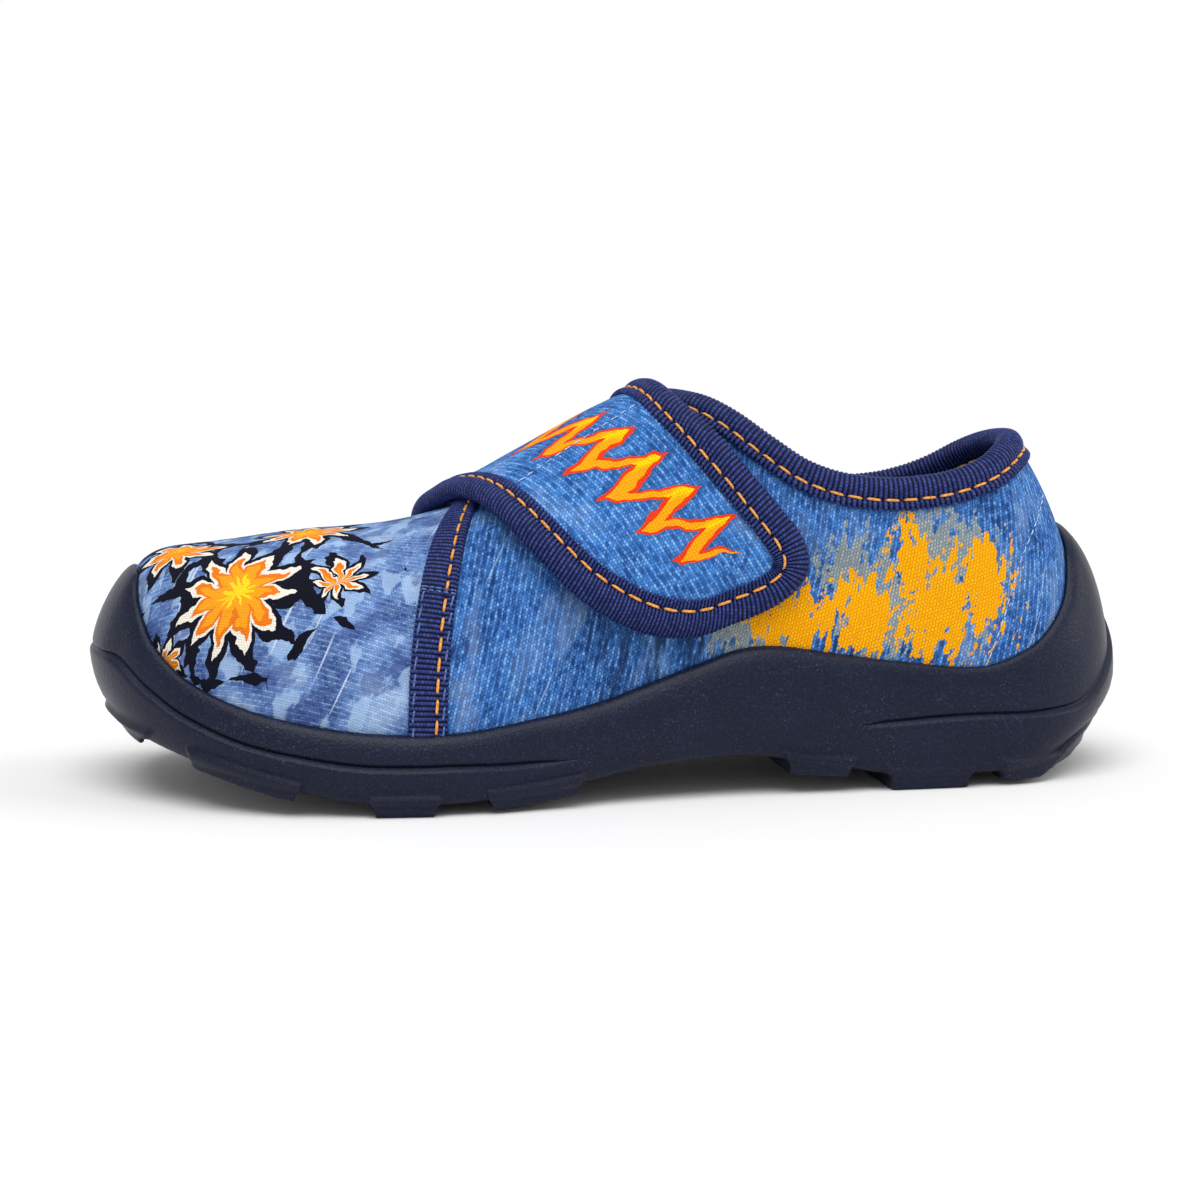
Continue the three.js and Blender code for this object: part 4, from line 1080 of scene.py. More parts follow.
strap_rim = rim_of_grid(STRAP_ROWS + 1, STRAP_COLUMNS + 1)
strap_walls = np.stack(
    [strap_rim, np.roll(strap_rim, -1), np.roll(strap_rim, -1) + strap_count, strap_rim + strap_count], -1
)
strap_faces = np.concatenate([layer, layer + strap_count, strap_walls])
strap_points = np.concatenate([strap_top.reshape(-1, 3), strap_under.reshape(-1, 3)])
strap_cloth = np.tile(strap_flat.reshape(-1, 2), (2, 1))

BINDING_SECTION, BINDING_OUT = section_of(
    (4.9, 0.3), (3.2, 0.05), (1.2, 0.0), (0.1, 0.1), (-0.7, 0.75), (-1.0, 1.7), (-0.75, 2.6), (-0.1, 3.2),
    (0.8, 3.55), (1.7, 3.65), (2.6, 3.4), (3.2, 3.0), (3.5, 2.4), (3.8, 2.95), (4.3, 3.2), (4.9, 3.15),
    (5.3, 2.85), (5.3, 2.42), (3.4, 2.42), (0.6, 2.42), (0.4, 2.2), (0.4, 1.2), (0.6, 0.98), (3.2, 0.98),
    (4.9, 0.98),
)


def binding_points():
    high = BINDING_SECTION[:, 1]
    within = (high > 0.9 * MM) & (high < 2.5 * MM) & (BINDING_SECTION[:, 0] > 0.2 * MM)
    show = shown_ribs(BINDING_SECTION, BINDING_OUT, 3.9 * MM, within)
    section = ribs_on(len(strap_outline), BINDING_SECTION, BINDING_OUT, show)
    flat = strap_outline[:, None] + strap_inward[:, None] * section[..., 0:1]
    return strap_point(flat, section[..., 1])


strap_tape_points = binding_points()

# %% [markdown]
# Stitches are short pieces of thread that come out of the cloth and go back in. A bump would be
# flat from close up, so each stitch is a small bent tube, and all the stitches of one thread are
# one mesh.

# %% Threads
STITCH_STEPS, STITCH_SIDES = 10, 6
THREAD_HEIGHT = 0.8  # of a thread against its width, as it is pressed flat


def stitched(line, normal, pitch, length, radius, sway=0.0):
    """Points and faces of stitches along a line of even steps, bent into the surface at both ends."""
    gone = arc_from(line, 0)
    whole = gone[-1]
    number = int(whole / pitch)
    spacing = whole / number
    start = spacing * (np.arange(number) + 0.5) - length / 2
    t = np.linspace(0, 1, STITCH_STEPS)
    at = start[:, None] + length * t[None, :]
    centre = np.stack([np.interp(at, gone, line[:, k]) for k in range(3)], -1)
    up = np.stack([np.interp(at, gone, normal[:, k]) for k in range(3)], -1)
    up /= np.linalg.norm(up, axis=-1, keepdims=True)
    run = np.gradient(centre, axis=1)
    run /= np.linalg.norm(run, axis=-1, keepdims=True)
    aside = np.cross(run, up)
    arch = 1 - (2 * t - 1) ** 6
    centre = centre + up * (radius * (1.5 * arch - 0.9))[None, :, None]
    centre = centre + aside * (sway * (t - 0.5))[None, :, None]
    angle = np.linspace(0, 2 * np.pi, STITCH_SIDES, endpoint=False)
    thick = radius * (0.55 + 0.45 * arch)
    cos, sin = np.cos(angle)[:, None], np.sin(angle)[:, None]
    ring = aside[:, :, None] * cos + up[:, :, None] * sin * THREAD_HEIGHT
    points = centre[:, :, None] + ring * thick[None, :, None, None]
    tube = grid_faces(STITCH_STEPS, STITCH_SIDES, wrap_columns=True)
    one = np.concatenate([tube, end_faces(STITCH_STEPS, STITCH_SIDES)])
    per = STITCH_STEPS * STITCH_SIDES
    faces = (one[None] + (np.arange(number) * per)[:, None, None]).reshape(-1, 4)
    return points.reshape(-1, 3), faces


def joined(parts):
    """Several sets of points and faces as one."""
    points, faces, first = [], [], 0
    for p, f in parts:
        points.append(p)
        faces.append(f + first)
        first += len(p)
    return np.concatenate(points), np.concatenate(faces)


# %% [markdown]
# Finishes. Colours are given as they are picked on a screen and turned to the linear light that the
# shaders want. One helper adds a node, sets it and links it, so that each material reads as a list
# of what is done to it.

# %% Colour and nodes
FACTOR, UNDER, OVER = 0, 6, 7  # sockets of a Mix node that mixes colours
RGBA = {"output": 2, "data_type": "RGBA"}


def linear(hex_colour):
    """An sRGB hex colour as linear red, green, blue and alpha."""
    value = np.array([int(hex_colour[k : k + 2], 16) for k in (1, 3, 5)]) / 255
    light = np.where(value <= 0.04045, value / 12.92, ((value + 0.055) / 1.055) ** 2.4)
    return (*light, 1.0)


def add(tree, kind, inputs, output=0, stops=(), **settings):
    """Adds a node, sets it, fills or links its sockets, and gives back one of its outputs."""
    node = tree.nodes.new("ShaderNode" + kind)
    for name, value in settings.items():
        setattr(node, name, value)
    for socket, value in inputs.items():
        if isinstance(value, bpy.types.NodeSocket):
            tree.links.new(value, node.inputs[socket])
        else:
            node.inputs[socket].default_value = value
    for number, (position, colour) in enumerate(stops):
        ramp = node.color_ramp.elements
        element = ramp[number] if number < len(ramp) else ramp.new(position)
        element.position, element.color = position, linear(colour)
    return node.outputs[output]


def material(name):
    """An empty material with its surface shader."""
    made = bpy.data.materials.new(name)
    made.use_nodes = True
    tree = made.node_tree
    tree.nodes.clear()
    shader = tree.nodes.new("ShaderNodeBsdfPrincipled")
    output = tree.nodes.new("ShaderNodeOutputMaterial")
    tree.links.new(shader.outputs[0], output.inputs[0])
    return made, tree, shader


def surface(tree, shader, colour, height, depth, constants):
    """Links the colour and a bump of a depth in mm, and sets what is the same all over."""
    tree.links.new(colour, shader.inputs["Base Color"])
    bump = add(tree, "Bump", {"Height": height, "Strength": 0.7, "Distance": depth * MM})
    tree.links.new(bump, shader.inputs["Normal"])
    for name, value in constants.items():
        shader.inputs[name].default_value = value


def marks(tree, where, lean, size, low, high, cover=1.0, detail=2.0):
    """Uneven marks, each about as long and wide as size says in mm: 0 off them and cover on them."""
    turned = add(tree, "VectorRotate", {0: where, 3: -np.radians(lean)}, rotation_type="Z_AXIS")
    each = (1 / size[0] / MM, 1 / size[1] / MM, 1 / size[1] / MM)
    scaled = add(tree, "VectorMath", {0: turned, 1: each}, operation="MULTIPLY")
    rough = add(tree, "TexNoise", {"Vector": scaled, "Scale": 1.0, "Detail": detail})
    return add(tree, "MapRange", {0: rough, 1: low, 2: high, 4: cover}, interpolation_type="SMOOTHSTEP")


print("white paper is", [round(v, 3) for v in linear("#f4f4f4")[:3]])

# %% [markdown]
# Polyurethane foam comes out of its mould with a skin that is nearly matt, very dark blue, with a
# fine grain and pale specks of release agent. The light draws a soft sheen along the roll. The real
# grain is finer than a pixel, so it is drawn 0.4 mm wide here, as coarse as it needs to show.

# %% Moulded polyurethane foam


def moulded_polyurethane():
    made, tree, shader = material("moulded polyurethane foam")
    spot = add(tree, "TexCoord", {}, "Object")
    grain = add(tree, "TexNoise", {"Vector": spot, "Scale": 1 / (0.4 * MM), "Detail": 2.0})
    cloud = add(tree, "TexNoise", {"Vector": spot, "Scale": 1 / (13 * MM), "Detail": 3.0})
    base = add(tree, "Mix", {FACTOR: cloud, UNDER: linear("#0a0e20"), OVER: linear("#12182d")}, **RGBA)
    pale = add(tree, "MapRange", {0: grain, 1: 0.5, 2: 0.75, 4: 0.45})
    grained = add(tree, "Mix", {FACTOR: pale, UNDER: base, OVER: linear("#2a3455")}, **RGBA)
    speck = marks(tree, spot, 0, (0.35, 0.35), 0.72, 0.8, 0.14, 0.0)
    dusty = marks(tree, spot, 0, (9, 9), 0.45, 0.65)
    dust = add(tree, "Math", {0: speck, 1: dusty}, operation="MULTIPLY")
    dusted = add(tree, "Mix", {FACTOR: dust, UNDER: grained, OVER: linear("#8f9cc0")}, **RGBA)
    surface(tree, shader, dusted, grain, 0.16, {"Roughness": 0.36, "IOR": 1.49, "Specular IOR Level": 0.19})
    return made


# %% [markdown]
# The canvas is cotton, printed with a picture of worn denim. Two things show at once: the print's
# twill lines and the real stitches of the cloth, which lie in rows like tiny bricks. Blender's
# brick texture makes such rows, with a tone of its own for each brick and a dark gap round it. The
# rows, the twill's soft bands, some noise and a slow wash of fading are added up, and a colour ramp
# turns the sum into the print's blues. All of it lies on the cloth's flat coordinates, turned to
# the direction that the cloth was cut in.

# %% Printed canvas
CANVAS = {"Roughness": 0.85, "Specular IOR Level": 0.05, "Sheen Weight": 0.02, "Sheen Roughness": 0.5}


def denim(tree, slant, pitch, tones, wash_tones, wash_size, faded, seed):
    """Worn denim as printed: its colour, the height of its threads, and its flat coordinates. Pitch and
    the size of the wash's clouds are in mm, and faded is the wash's share."""
    flat = add(tree, "UVMap", {}, uv_map="cloth")
    turned = add(tree, "VectorRotate", {0: flat, 3: np.radians(slant)}, rotation_type="Z_AXIS")
    shake = add(tree, "TexNoise", {"Vector": turned, "Scale": 1 / (1.6 * MM), "Detail": 2.0}, 1)
    shaken = add(tree, "VectorMath", {0: shake, 1: (0.45 * MM,) * 3, 2: turned}, operation="MULTIPLY_ADD")
    sizes = {"Scale": 1 / MM, "Mortar Size": pitch / 9, "Mortar Smooth": 1.0, "Brick Width": pitch * 0.62}
    tints = {"Color1": (0, 0, 0, 1), "Color2": (1, 1, 1, 1), "Mortar": (0, 0, 0, 1), "Row Height": pitch / 2}
    stitch = add(tree, "TexBrick", {"Vector": shaken, **sizes, **tints})
    gap = add(tree, "TexBrick", {"Vector": shaken, **sizes, **tints}, 1)
    over_cloth = add(tree, "SeparateXYZ", {0: shaken}, 1)
    turn = add(tree, "Math", {0: over_cloth, 1: 2 * np.pi / pitch / MM}, operation="MULTIPLY")
    line = add(tree, "Math", {0: turn}, operation="SINE")
    moved = add(tree, "VectorMath", {0: turned, 1: (seed, seed, seed)}, operation="ADD")
    blotch = marks(tree, moved, 0, (1.9, 1.1), 0.3, 0.7, 0.38, 3.0)
    tone = add(tree, "Math", {0: stitch, 1: 0.5, 2: blotch}, operation="MULTIPLY_ADD")
    banded = add(tree, "Math", {0: line, 1: 0.15, 2: tone}, operation="MULTIPLY_ADD")
    fine = add(tree, "ValToRGB", {0: banded}, stops=zip((0.08, 0.33, 0.55, 0.85), tones))
    fade = marks(tree, moved, 20, (wash_size, wash_size), 0.3, 0.7, 1.0, 4.0)
    wash = add(tree, "ValToRGB", {0: fade}, stops=zip((0.08, 0.4, 0.65, 0.95), wash_tones))
    colour = add(tree, "Mix", {FACTOR: faded, UNDER: fine, OVER: wash}, **RGBA)
    height = add(tree, "Math", {0: gap, 1: -0.6, 2: banded}, operation="MULTIPLY_ADD")
    return SimpleNamespace(colour=colour, height=height, flat=flat, gap=gap, stitch=stitch)


def inked(tree, cloth, ink, cover):
    """Printing ink over the denim where cover is 1. The gaps between the stitches still show through it."""
    through = add(tree, "Math", {0: cloth.gap, 1: 0.16}, operation="MULTIPLY")
    worn = add(tree, "Mix", {FACTOR: through, UNDER: ink, OVER: linear("#23264a")}, **RGBA)
    return add(tree, "Mix", {FACTOR: cover, UNDER: cloth.colour, OVER: worn}, **RGBA)


def stained(tree, cloth, stains):
    """The denim's colour with marks on it, given as what marks() asks for and a colour."""
    for colour, *shape in stains:
        mixed = {FACTOR: marks(tree, cloth.flat, *shape), UNDER: cloth.colour, OVER: linear(colour)}
        cloth.colour = add(tree, "Mix", mixed, **RGBA)


# %% [markdown]
# The quarters are a mid blue. Dark streaks run up from the sole under the arch, the heel is rubbed
# pale, and a splash of paint is printed low on it. A real splash has a dense body, tongues that run
# out of it and specks at its edge: here it is a few soft ovals, made ragged by noise that is drawn
# out along the tongues, and cut at a threshold.

# %% The quarters' canvas
# two tones of each paint, its seed, and its ovals: place along the foot, height and half sizes in mm
PAINTS = (
    ("#7c898f", "#a0a9a9", 0.41, ((-23, 17, 9, 5), (-41, 26, 6, 8), (-59, 29, 9, 9), (-50, 19, 12, 7))),
    (
        "#f0a000",
        "#ffb400",
        0.17,
        ((-29, 18, 8, 6), (-42, 19, 9, 6), (-56, 20, 10, 8), (-67, 24, 6, 8), (-52, 29, 3, 6)),
    ),
)


def outline_arc(x):
    """The quarters' flat coordinate that belongs to a place along the foot."""
    return float(np.interp(-x, -at_turn(half), round_heel[: len(half)]))


def oval(tree, flat, x, up, long, tall):
    """How deep each point is in an oval in mm: 1 in its middle, 0 on its edge and less outside."""
    moved = add(tree, "VectorMath", {0: flat, 1: (outline_arc(x * MM), up * MM, 0)}, operation="SUBTRACT")
    shares = add(tree, "VectorMath", {0: moved, 1: (1 / long / MM, 1 / tall / MM, 0)}, operation="MULTIPLY")
    far = add(tree, "VectorMath", {0: shares}, "Value", operation="LENGTH")
    return add(tree, "Math", {0: 1.0, 1: far}, operation="SUBTRACT")


def splash(tree, flat, blots, seed):
    """1 inside a splash of paint and 0 outside it."""
    deepest = -1.0
    for blot in blots:
        deepest = add(tree, "Math", {0: deepest, 1: oval(tree, flat, *blot)}, operation="MAXIMUM")
    place_on = add(tree, "VectorMath", {0: flat, 1: (seed, seed, seed)}, operation="ADD")
    tongues = marks(tree, place_on, 76, (6, 1.8), 0.25, 0.75, 1.2, 2.0)
    specks = marks(tree, place_on, 50, (1.5, 1.0), 0.25, 0.75, 0.7, 2.0)
    rough = add(tree, "Math", {0: tongues, 1: specks}, operation="ADD")
    ragged = add(tree, "Math", {0: rough, 1: -1.0}, operation="ADD")
    inside = add(tree, "Math", {0: deepest, 1: ragged}, operation="ADD")
    return add(tree, "MapRange", {0: inside, 1: -0.03, 2: 0.03})


def quarter_canvas():
    made, tree, shader = material("printed cotton canvas, quarters")
    tones = ("#143063", "#3263a8", "#4a80c8", "#84b4ea")
    wash_tones = ("#2d4b7c", "#3c6aae", "#487bc0", "#7a9fd0")
    cloth = denim(tree, 105, 1.15, tones, wash_tones, 11, 0.3, 0.13)
    arch = add(tree, "MapRange", {0: oval(tree, cloth.flat, -6, 15, 24, 12), 1: 0, 2: 0.7})
    streak = marks(tree, cloth.flat, 84, (9, 2.2), 0.46, 0.6, 0.8)
    cover = add(tree, "Math", {0: streak, 1: arch}, operation="MULTIPLY")
    cloth.colour = add(tree, "Mix", {FACTOR: cover, UNDER: cloth.colour, OVER: linear("#1d2f52")}, **RGBA)
    rub = ("#8ba3c6", 70, (22, 8), 0.56, 0.75, 0.4)
    scratch = ("#b9cdea", 62, (30, 0.9), 0.71, 0.75, 0.4, 1.0)
    stained(tree, cloth, (rub, scratch))
    for dark, light, seed, blots in PAINTS:
        tones = {FACTOR: cloth.stitch, UNDER: linear(dark), OVER: linear(light)}
        paint = add(tree, "Mix", tones, **RGBA)
        cloth.colour = inked(tree, cloth, paint, splash(tree, cloth.flat, blots, seed))
    surface(tree, shader, cloth.colour, cloth.height, 0.2, CANVAS)
    return made


# %% [markdown]
# The vamp is printed with a paler, bleached denim and a bold picture over the toes. The picture
# here is a design of its own: comic-book bursts in white, orange and yellow with thick black
# outlines, and black cracks that run out from them. A burst is a star in polar coordinates: the
# distance from its middle, over a radius that goes up and down with the angle. One number then says
# how far out in the star a point is, and a colour ramp turns it into bands of ink.

# %% The vamp's canvas
# along the ridge and to the outer side in mm, radius in mm, spikes, turn
BURSTS = (
    (71, 22, 16, 11, 0.1),
    (90, 27, 9, 9, 0.3),
    (57, 3, 12, 9, 0.6),
    (80, 2, 11, 8, 0.2),
    (53, 24, 8, 8, 0.9),
    (66, -20, 14, 10, 0.4),
    (88, -28, 9, 9, 0.1),
)
SPIKE_DEPTH = 0.9  # of the radius, from a spike's tip to the valley, for half a wave


def bursts(tree, flat):
    """How far out in the nearest star each point is: 0 in its middle and 1 on its outline."""
    nearest = 9.0
    for along, aside, radius, spikes, turn in BURSTS:
        moved = add(tree, "VectorMath", {0: flat, 1: (along * MM, aside * MM, 0)}, operation="SUBTRACT")
        far = add(tree, "VectorMath", {0: moved}, "Value", operation="LENGTH")
        x, y = (add(tree, "SeparateXYZ", {0: moved}, k) for k in (0, 1))
        angle = add(tree, "Math", {0: y, 1: x}, operation="ARCTAN2")
        count = add(tree, "Math", {0: angle, 1: spikes / (2 * np.pi), 2: turn}, operation="MULTIPLY_ADD")
        wave = add(tree, "Math", {0: count, 1: 0.5}, operation="PINGPONG")
        fall = {0: wave, 1: -SPIKE_DEPTH * radius * MM, 2: radius * MM}
        reach = add(tree, "Math", fall, operation="MULTIPLY_ADD")
        out = add(tree, "Math", {0: far, 1: reach}, operation="DIVIDE")
        nearest = add(tree, "Math", {0: nearest, 1: out}, operation="MINIMUM")
    return nearest


def vamp_canvas():
    made, tree, shader = material("printed cotton canvas, vamp")
    tones = ("#3a4f88", "#5f80b8", "#7b9dd0", "#a9c6ea")
    wash_tones = ("#2f4073", "#5571a9", "#7c9bcb", "#b4cbe8")
    cloth = denim(tree, 26, 0.9, tones, wash_tones, 9, 0.5, 0.37)
    navy = ("#41558d", 30, (9, 6), 0.54, 0.6, 0.6, 6.0)
    pale = ("#a9c6e8", 60, (8, 5), 0.55, 0.6, 0.6, 6.0)
    scratch = ("#ccd9ec", 62, (34, 1.4), 0.675, 0.71, 0.75, 1.0)
    stained(tree, cloth, (navy, pale, scratch))
    rough = add(tree, "TexNoise", {"Vector": cloth.flat, "Scale": 1 / (6 * MM), "Detail": 3.0}, 1)
    drawn = add(tree, "VectorMath", {0: rough, 1: (6 * MM,) * 3, 2: cloth.flat}, operation="MULTIPLY_ADD")
    back = add(tree, "VectorMath", {0: drawn, 1: (3 * MM, 3 * MM, 0)}, operation="SUBTRACT")
    out = bursts(tree, back)
    cell = {"Vector": back, "Scale": 1 / (19 * MM)}
    edge = {"feature": "DISTANCE_TO_EDGE", "voronoi_dimensions": "2D"}
    crack = add(tree, "TexVoronoi", cell, "Distance", **edge)
    width = add(tree, "MapRange", {0: out, 1: 0.9, 2: 2.0, 3: 0.08, 4: -0.03})
    in_crack = add(tree, "Math", {0: crack, 1: width}, operation="LESS_THAN")
    cloth.colour = inked(tree, cloth, linear("#10111c"), in_crack)
    bands = ((0, "#ffd81e"), (0.28, "#f9a01c"), (0.5, "#ea7a14"), (0.63, "#efe9dc"), (0.76, "#10111c"))
    ink = add(tree, "ValToRGB", {0: out}, stops=bands)
    ink.node.color_ramp.interpolation = "CONSTANT"
    on_star = add(tree, "Math", {0: out, 1: 1.0}, operation="LESS_THAN")
    cloth.colour = inked(tree, cloth, ink, on_star)
    surface(tree, shader, cloth.colour, cloth.height, 0.16, CANVAS)
    return made


# %% [markdown]
# Down the strap run jagged bolts in yellow ink with a red outline, a design of its own too. They
# are the distance from a zigzag line that follows the middle of the strap: under one width it is
# yellow, under the next red, and beyond that the blue is darker, as a printer draws it round a
# figure.

# %% The strap's canvas
BOLT_LEAN = (-1.2, -0.33, -0.0085)  # the middle of the strap in mm, as a curve over the way down
BOLT_STEP, BOLT_SWING = 3.7, 10.5  # mm
BOLT_ENDS = ((-26.0, -16.0), (43.5, 41.5))
YELLOW_HALF, RED_HALF, SHADE_HALF = 2.3, 3.9, 7.0  # mm, along the strap's width


def strap_canvas():
    made, tree, shader = material("printed cotton canvas, strap")
    tones = ("#1b3f7c", "#3a70b8", "#5590d8", "#8cc0f2")
    wash_tones = ("#34588f", "#4073b8", "#5088cc", "#93b2da")
    cloth = denim(tree, 60, 1.15, tones, wash_tones, 12, 0.3, 0.81)
    rough = add(tree, "TexNoise", {"Vector": cloth.flat, "Scale": 1 / (5 * MM), "Detail": 2.0}, 1)
    drawn = add(tree, "VectorMath", {0: rough, 1: (3 * MM,) * 3, 2: cloth.flat}, operation="MULTIPLY_ADD")
    in_mm = add(tree, "VectorMath", {0: drawn, 1: (1 / MM,) * 3}, operation="MULTIPLY")
    along, down = (add(tree, "SeparateXYZ", {0: in_mm}, k) for k in (0, 1))
    bent = add(tree, "Math", {0: down, 1: BOLT_LEAN[2], 2: BOLT_LEAN[1]}, operation="MULTIPLY_ADD")
    middle = add(tree, "Math", {0: bent, 1: down, 2: BOLT_LEAN[0]}, operation="MULTIPLY_ADD")
    wave = add(tree, "Math", {0: down, 1: BOLT_STEP}, operation="PINGPONG")
    swing = {0: wave, 1: BOLT_SWING / BOLT_STEP, 2: middle}
    zigzag = add(tree, "Math", swing, operation="MULTIPLY_ADD")
    away = add(tree, "Math", {0: along, 1: zigzag}, operation="SUBTRACT")
    centred = add(tree, "Math", {0: away, 1: BOLT_SWING / 2}, operation="ADD")
    far = add(tree, "Math", {0: centred}, operation="ABSOLUTE")
    starts, stops_at = (add(tree, "MapRange", {0: down, 1: a, 2: b, 3: 0.001}) for a, b in BOLT_ENDS)
    show = add(tree, "Math", {0: starts, 1: stops_at}, operation="MULTIPLY")
    shade = add(tree, "MapRange", {0: far, 1: SHADE_HALF, 2: RED_HALF, 4: 0.6})
    shaded = add(tree, "Math", {0: shade, 1: show}, operation="MULTIPLY")
    cloth.colour = add(tree, "Mix", {FACTOR: shaded, UNDER: cloth.colour, OVER: linear("#244a7c")}, **RGBA)
    thin = add(tree, "Math", {0: far, 1: show}, operation="DIVIDE")
    in_red = add(tree, "Math", {0: thin, 1: RED_HALF}, operation="LESS_THAN")
    in_yellow = add(tree, "Math", {0: thin, 1: YELLOW_HALF}, operation="LESS_THAN")
    cloth.colour = inked(tree, cloth, linear("#ee3c10"), in_red)
    gold = add(tree, "ValToRGB", {0: wave}, stops=((0.0, "#ffd400"), (1.0, "#ffa40a")))
    cloth.colour = inked(tree, cloth, gold, in_yellow)
    surface(tree, shader, cloth.colour, cloth.height, 0.2, CANVAS)
    return made


# %% [markdown]
# Inside is a knitted polyester lining, dark navy and a little brushed, so its stitches are soft and
# its sheen is stronger than the canvas's.

# %% The lining


def knitted_lining():
    made, tree, shader = material("knitted polyester lining")
    tones = ("#0e1226", "#171c38", "#1e2546", "#2b335a")
    wash_tones = ("#12162c", "#181d38", "#1d2342", "#242b4c")
    cloth = denim(tree, 0, 1.0, tones, wash_tones, 9, 0.3, 0.59)
    surface(tree, shader, cloth.colour, cloth.height, 0.2, {**CANVAS, "Sheen Weight": 0.05})
    return made


# %% [markdown]
# Grosgrain is a ribbon with a thick weft, so it has ribs across it. The ribs are in the mesh. The
# material adds what they are made of, fine threads round each rib, and a painted shade: near-black
# colour in the gaps between the ribs, where shade collects. It is woven of shiny polyester, so it is smoother
# than the canvas.

# %% Grosgrain


def grosgrain_ribbon():
    made, tree, shader = material("woven grosgrain ribbon")
    flat = add(tree, "UVMap", {}, uv_map="cloth")
    sizes = {"Scale": 1 / MM, "Mortar Size": 0.07, "Brick Width": 0.62, "Row Height": RIB_PITCH / MM}
    tints = {"Color1": linear("#253069"), "Color2": linear("#3d4b8c"), "Mortar": linear("#1a2253")}
    threads = add(tree, "TexBrick", {"Vector": flat, **sizes, **tints})
    along = add(tree, "SeparateXYZ", {0: flat}, 1)
    from_gap = add(tree, "Math", {0: along, 1: RIB_PITCH / 2}, operation="PINGPONG")
    rise = {0: from_gap, 1: 0.04 * MM, 2: 0.27 * MM}
    on_rib = add(tree, "MapRange", rise, interpolation_type="SMOOTHSTEP")
    fuzz = add(tree, "TexNoise", {"Vector": flat, "Scale": 1 / (0.3 * MM), "Detail": 2.0})
    dull = add(tree, "MapRange", {0: fuzz, 1: 0.35, 2: 0.7, 4: 0.4})
    worn = add(tree, "Mix", {FACTOR: dull, UNDER: threads, OVER: linear("#1b234f")}, **RGBA)
    # painted shade: the gaps between the ribs are mixed to near-black #05081a, standing in for the shade that
    # collects there
    colour = add(tree, "Mix", {FACTOR: on_rib, UNDER: linear("#05081a"), OVER: worn}, **RGBA)
    height = add(tree, "Math", {0: fuzz, 1: 0.3, 2: on_rib}, operation="MULTIPLY_ADD")
    surface(tree, shader, colour, height, 0.2, {"Roughness": 0.45, "Specular IOR Level": 0.12})
    return made


# %% [markdown]
# Sewing thread is twisted from plies that turn round it. Its slanting lines of light and shade are painted
# into its colour along the plies, and it shines a little more than any cloth.

# %% Sewing thread


def sewing_thread(name, colour, shade):
    made, tree, shader = material(name)
    spot = add(tree, "TexCoord", {}, "Object")
    ply = marks(tree, spot, 40, (0.6, 0.25), 0.35, 0.6, 1.0, 1.0)
    # painted shade: along the ply lines the colour mixes towards the darker shade colour, standing in for
    # light and shade across the twist
    ply_colour_with_painted_shade = add(tree, "Mix", {FACTOR: ply, UNDER: linear(shade), OVER: linear(colour)}, **RGBA)
    surface(tree, shader, ply_colour_with_painted_shade, ply, 0.06, {"Roughness": 0.4, "Specular IOR Level": 0.4})
    return made


polyurethane = moulded_polyurethane()
quarters, vamp, strap_print = quarter_canvas(), vamp_canvas(), strap_canvas()
lining, ribbon = knitted_lining(), grosgrain_ribbon()
orange_thread = sewing_thread("orange polyester thread", "#f2a94f", "#c27a30")
pale_thread = sewing_thread("pale blue polyester thread", "#bcd2ee", "#7d9ecb")
blue_thread = sewing_thread("blue polyester thread", "#5873ae", "#22305f")
print("finishes:", ", ".join(made.name for made in bpy.data.materials if made.use_nodes))

# %% [markdown]
# Each piece stands in the place of its CAD solid, which is hidden, and is given its own materials.

# %% The pieces
sole = mesh_piece("sole_moulding", sole_points, sole_faces, [polyurethane])
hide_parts("sole")
canvases = [vamp, quarters, lining]
upper = mesh_piece("upper_wall", upper_points, upper_faces, canvases, upper_cloth, upper_finish)
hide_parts("upper")
faces, cloth = swept(collar_points, COLLAR_SECTION, True)
collar = mesh_piece("collar_ribbon", collar_points.reshape(-1, 3), faces, [ribbon], cloth)
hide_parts("collar_tape")
for side, node in ((1.0, "seam_tape_outer"), (-1.0, "seam_tape_inner")):
    points = seam_tape_points(side)
    faces, cloth = swept(points, SEAM_SECTION, False)
    tape = mesh_piece(node.replace("tape", "ribbon"), points.reshape(-1, 3), faces, [ribbon], cloth)
    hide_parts(node)
strap = mesh_piece("strap_band", strap_points, strap_faces, [strap_print], strap_cloth)
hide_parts("strap")
faces, cloth = swept(strap_tape_points, BINDING_SECTION, False)
binding = mesh_piece("strap_ribbon", strap_tape_points.reshape(-1, 3), faces, [ribbon], cloth)
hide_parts("strap_tape")

# %% [markdown]
# The insole is a loose pad of foam covered with the lining's knit, die-cut to the inside of the
# shoe. It is soft, so its edges are round: rings go up its side, and strips across close its top
# and its underside.

# %% The insole
INSOLE_TURNS = np.linspace(0, 1, 121)
INSOLE_COLUMNS = 20
# height over the bed and distance in from the upper's inside, in mm
INSOLE_EDGE = ((0.02, 0.6), (0.3, 0.15), (1.2, 0), (2.3, 0.1), (2.8, 0.5), (2.95, 1.2), (3.0, 2.5))
insole_turn, insole_side = round_foot(INSOLE_TURNS)
insole_ribs = rib(at_turn(insole_turn), insole_side)


def insole_ring(height, inset):
    """A ring round the insole, at a height over the bed and a distance in from the upper's inside."""
    z = insole_ribs.low + height
    far = insole_ribs.reach + reach_at(insole_ribs, z) - WALL - CLEARANCE - inset
    return from_head(insole_ribs, far, z)


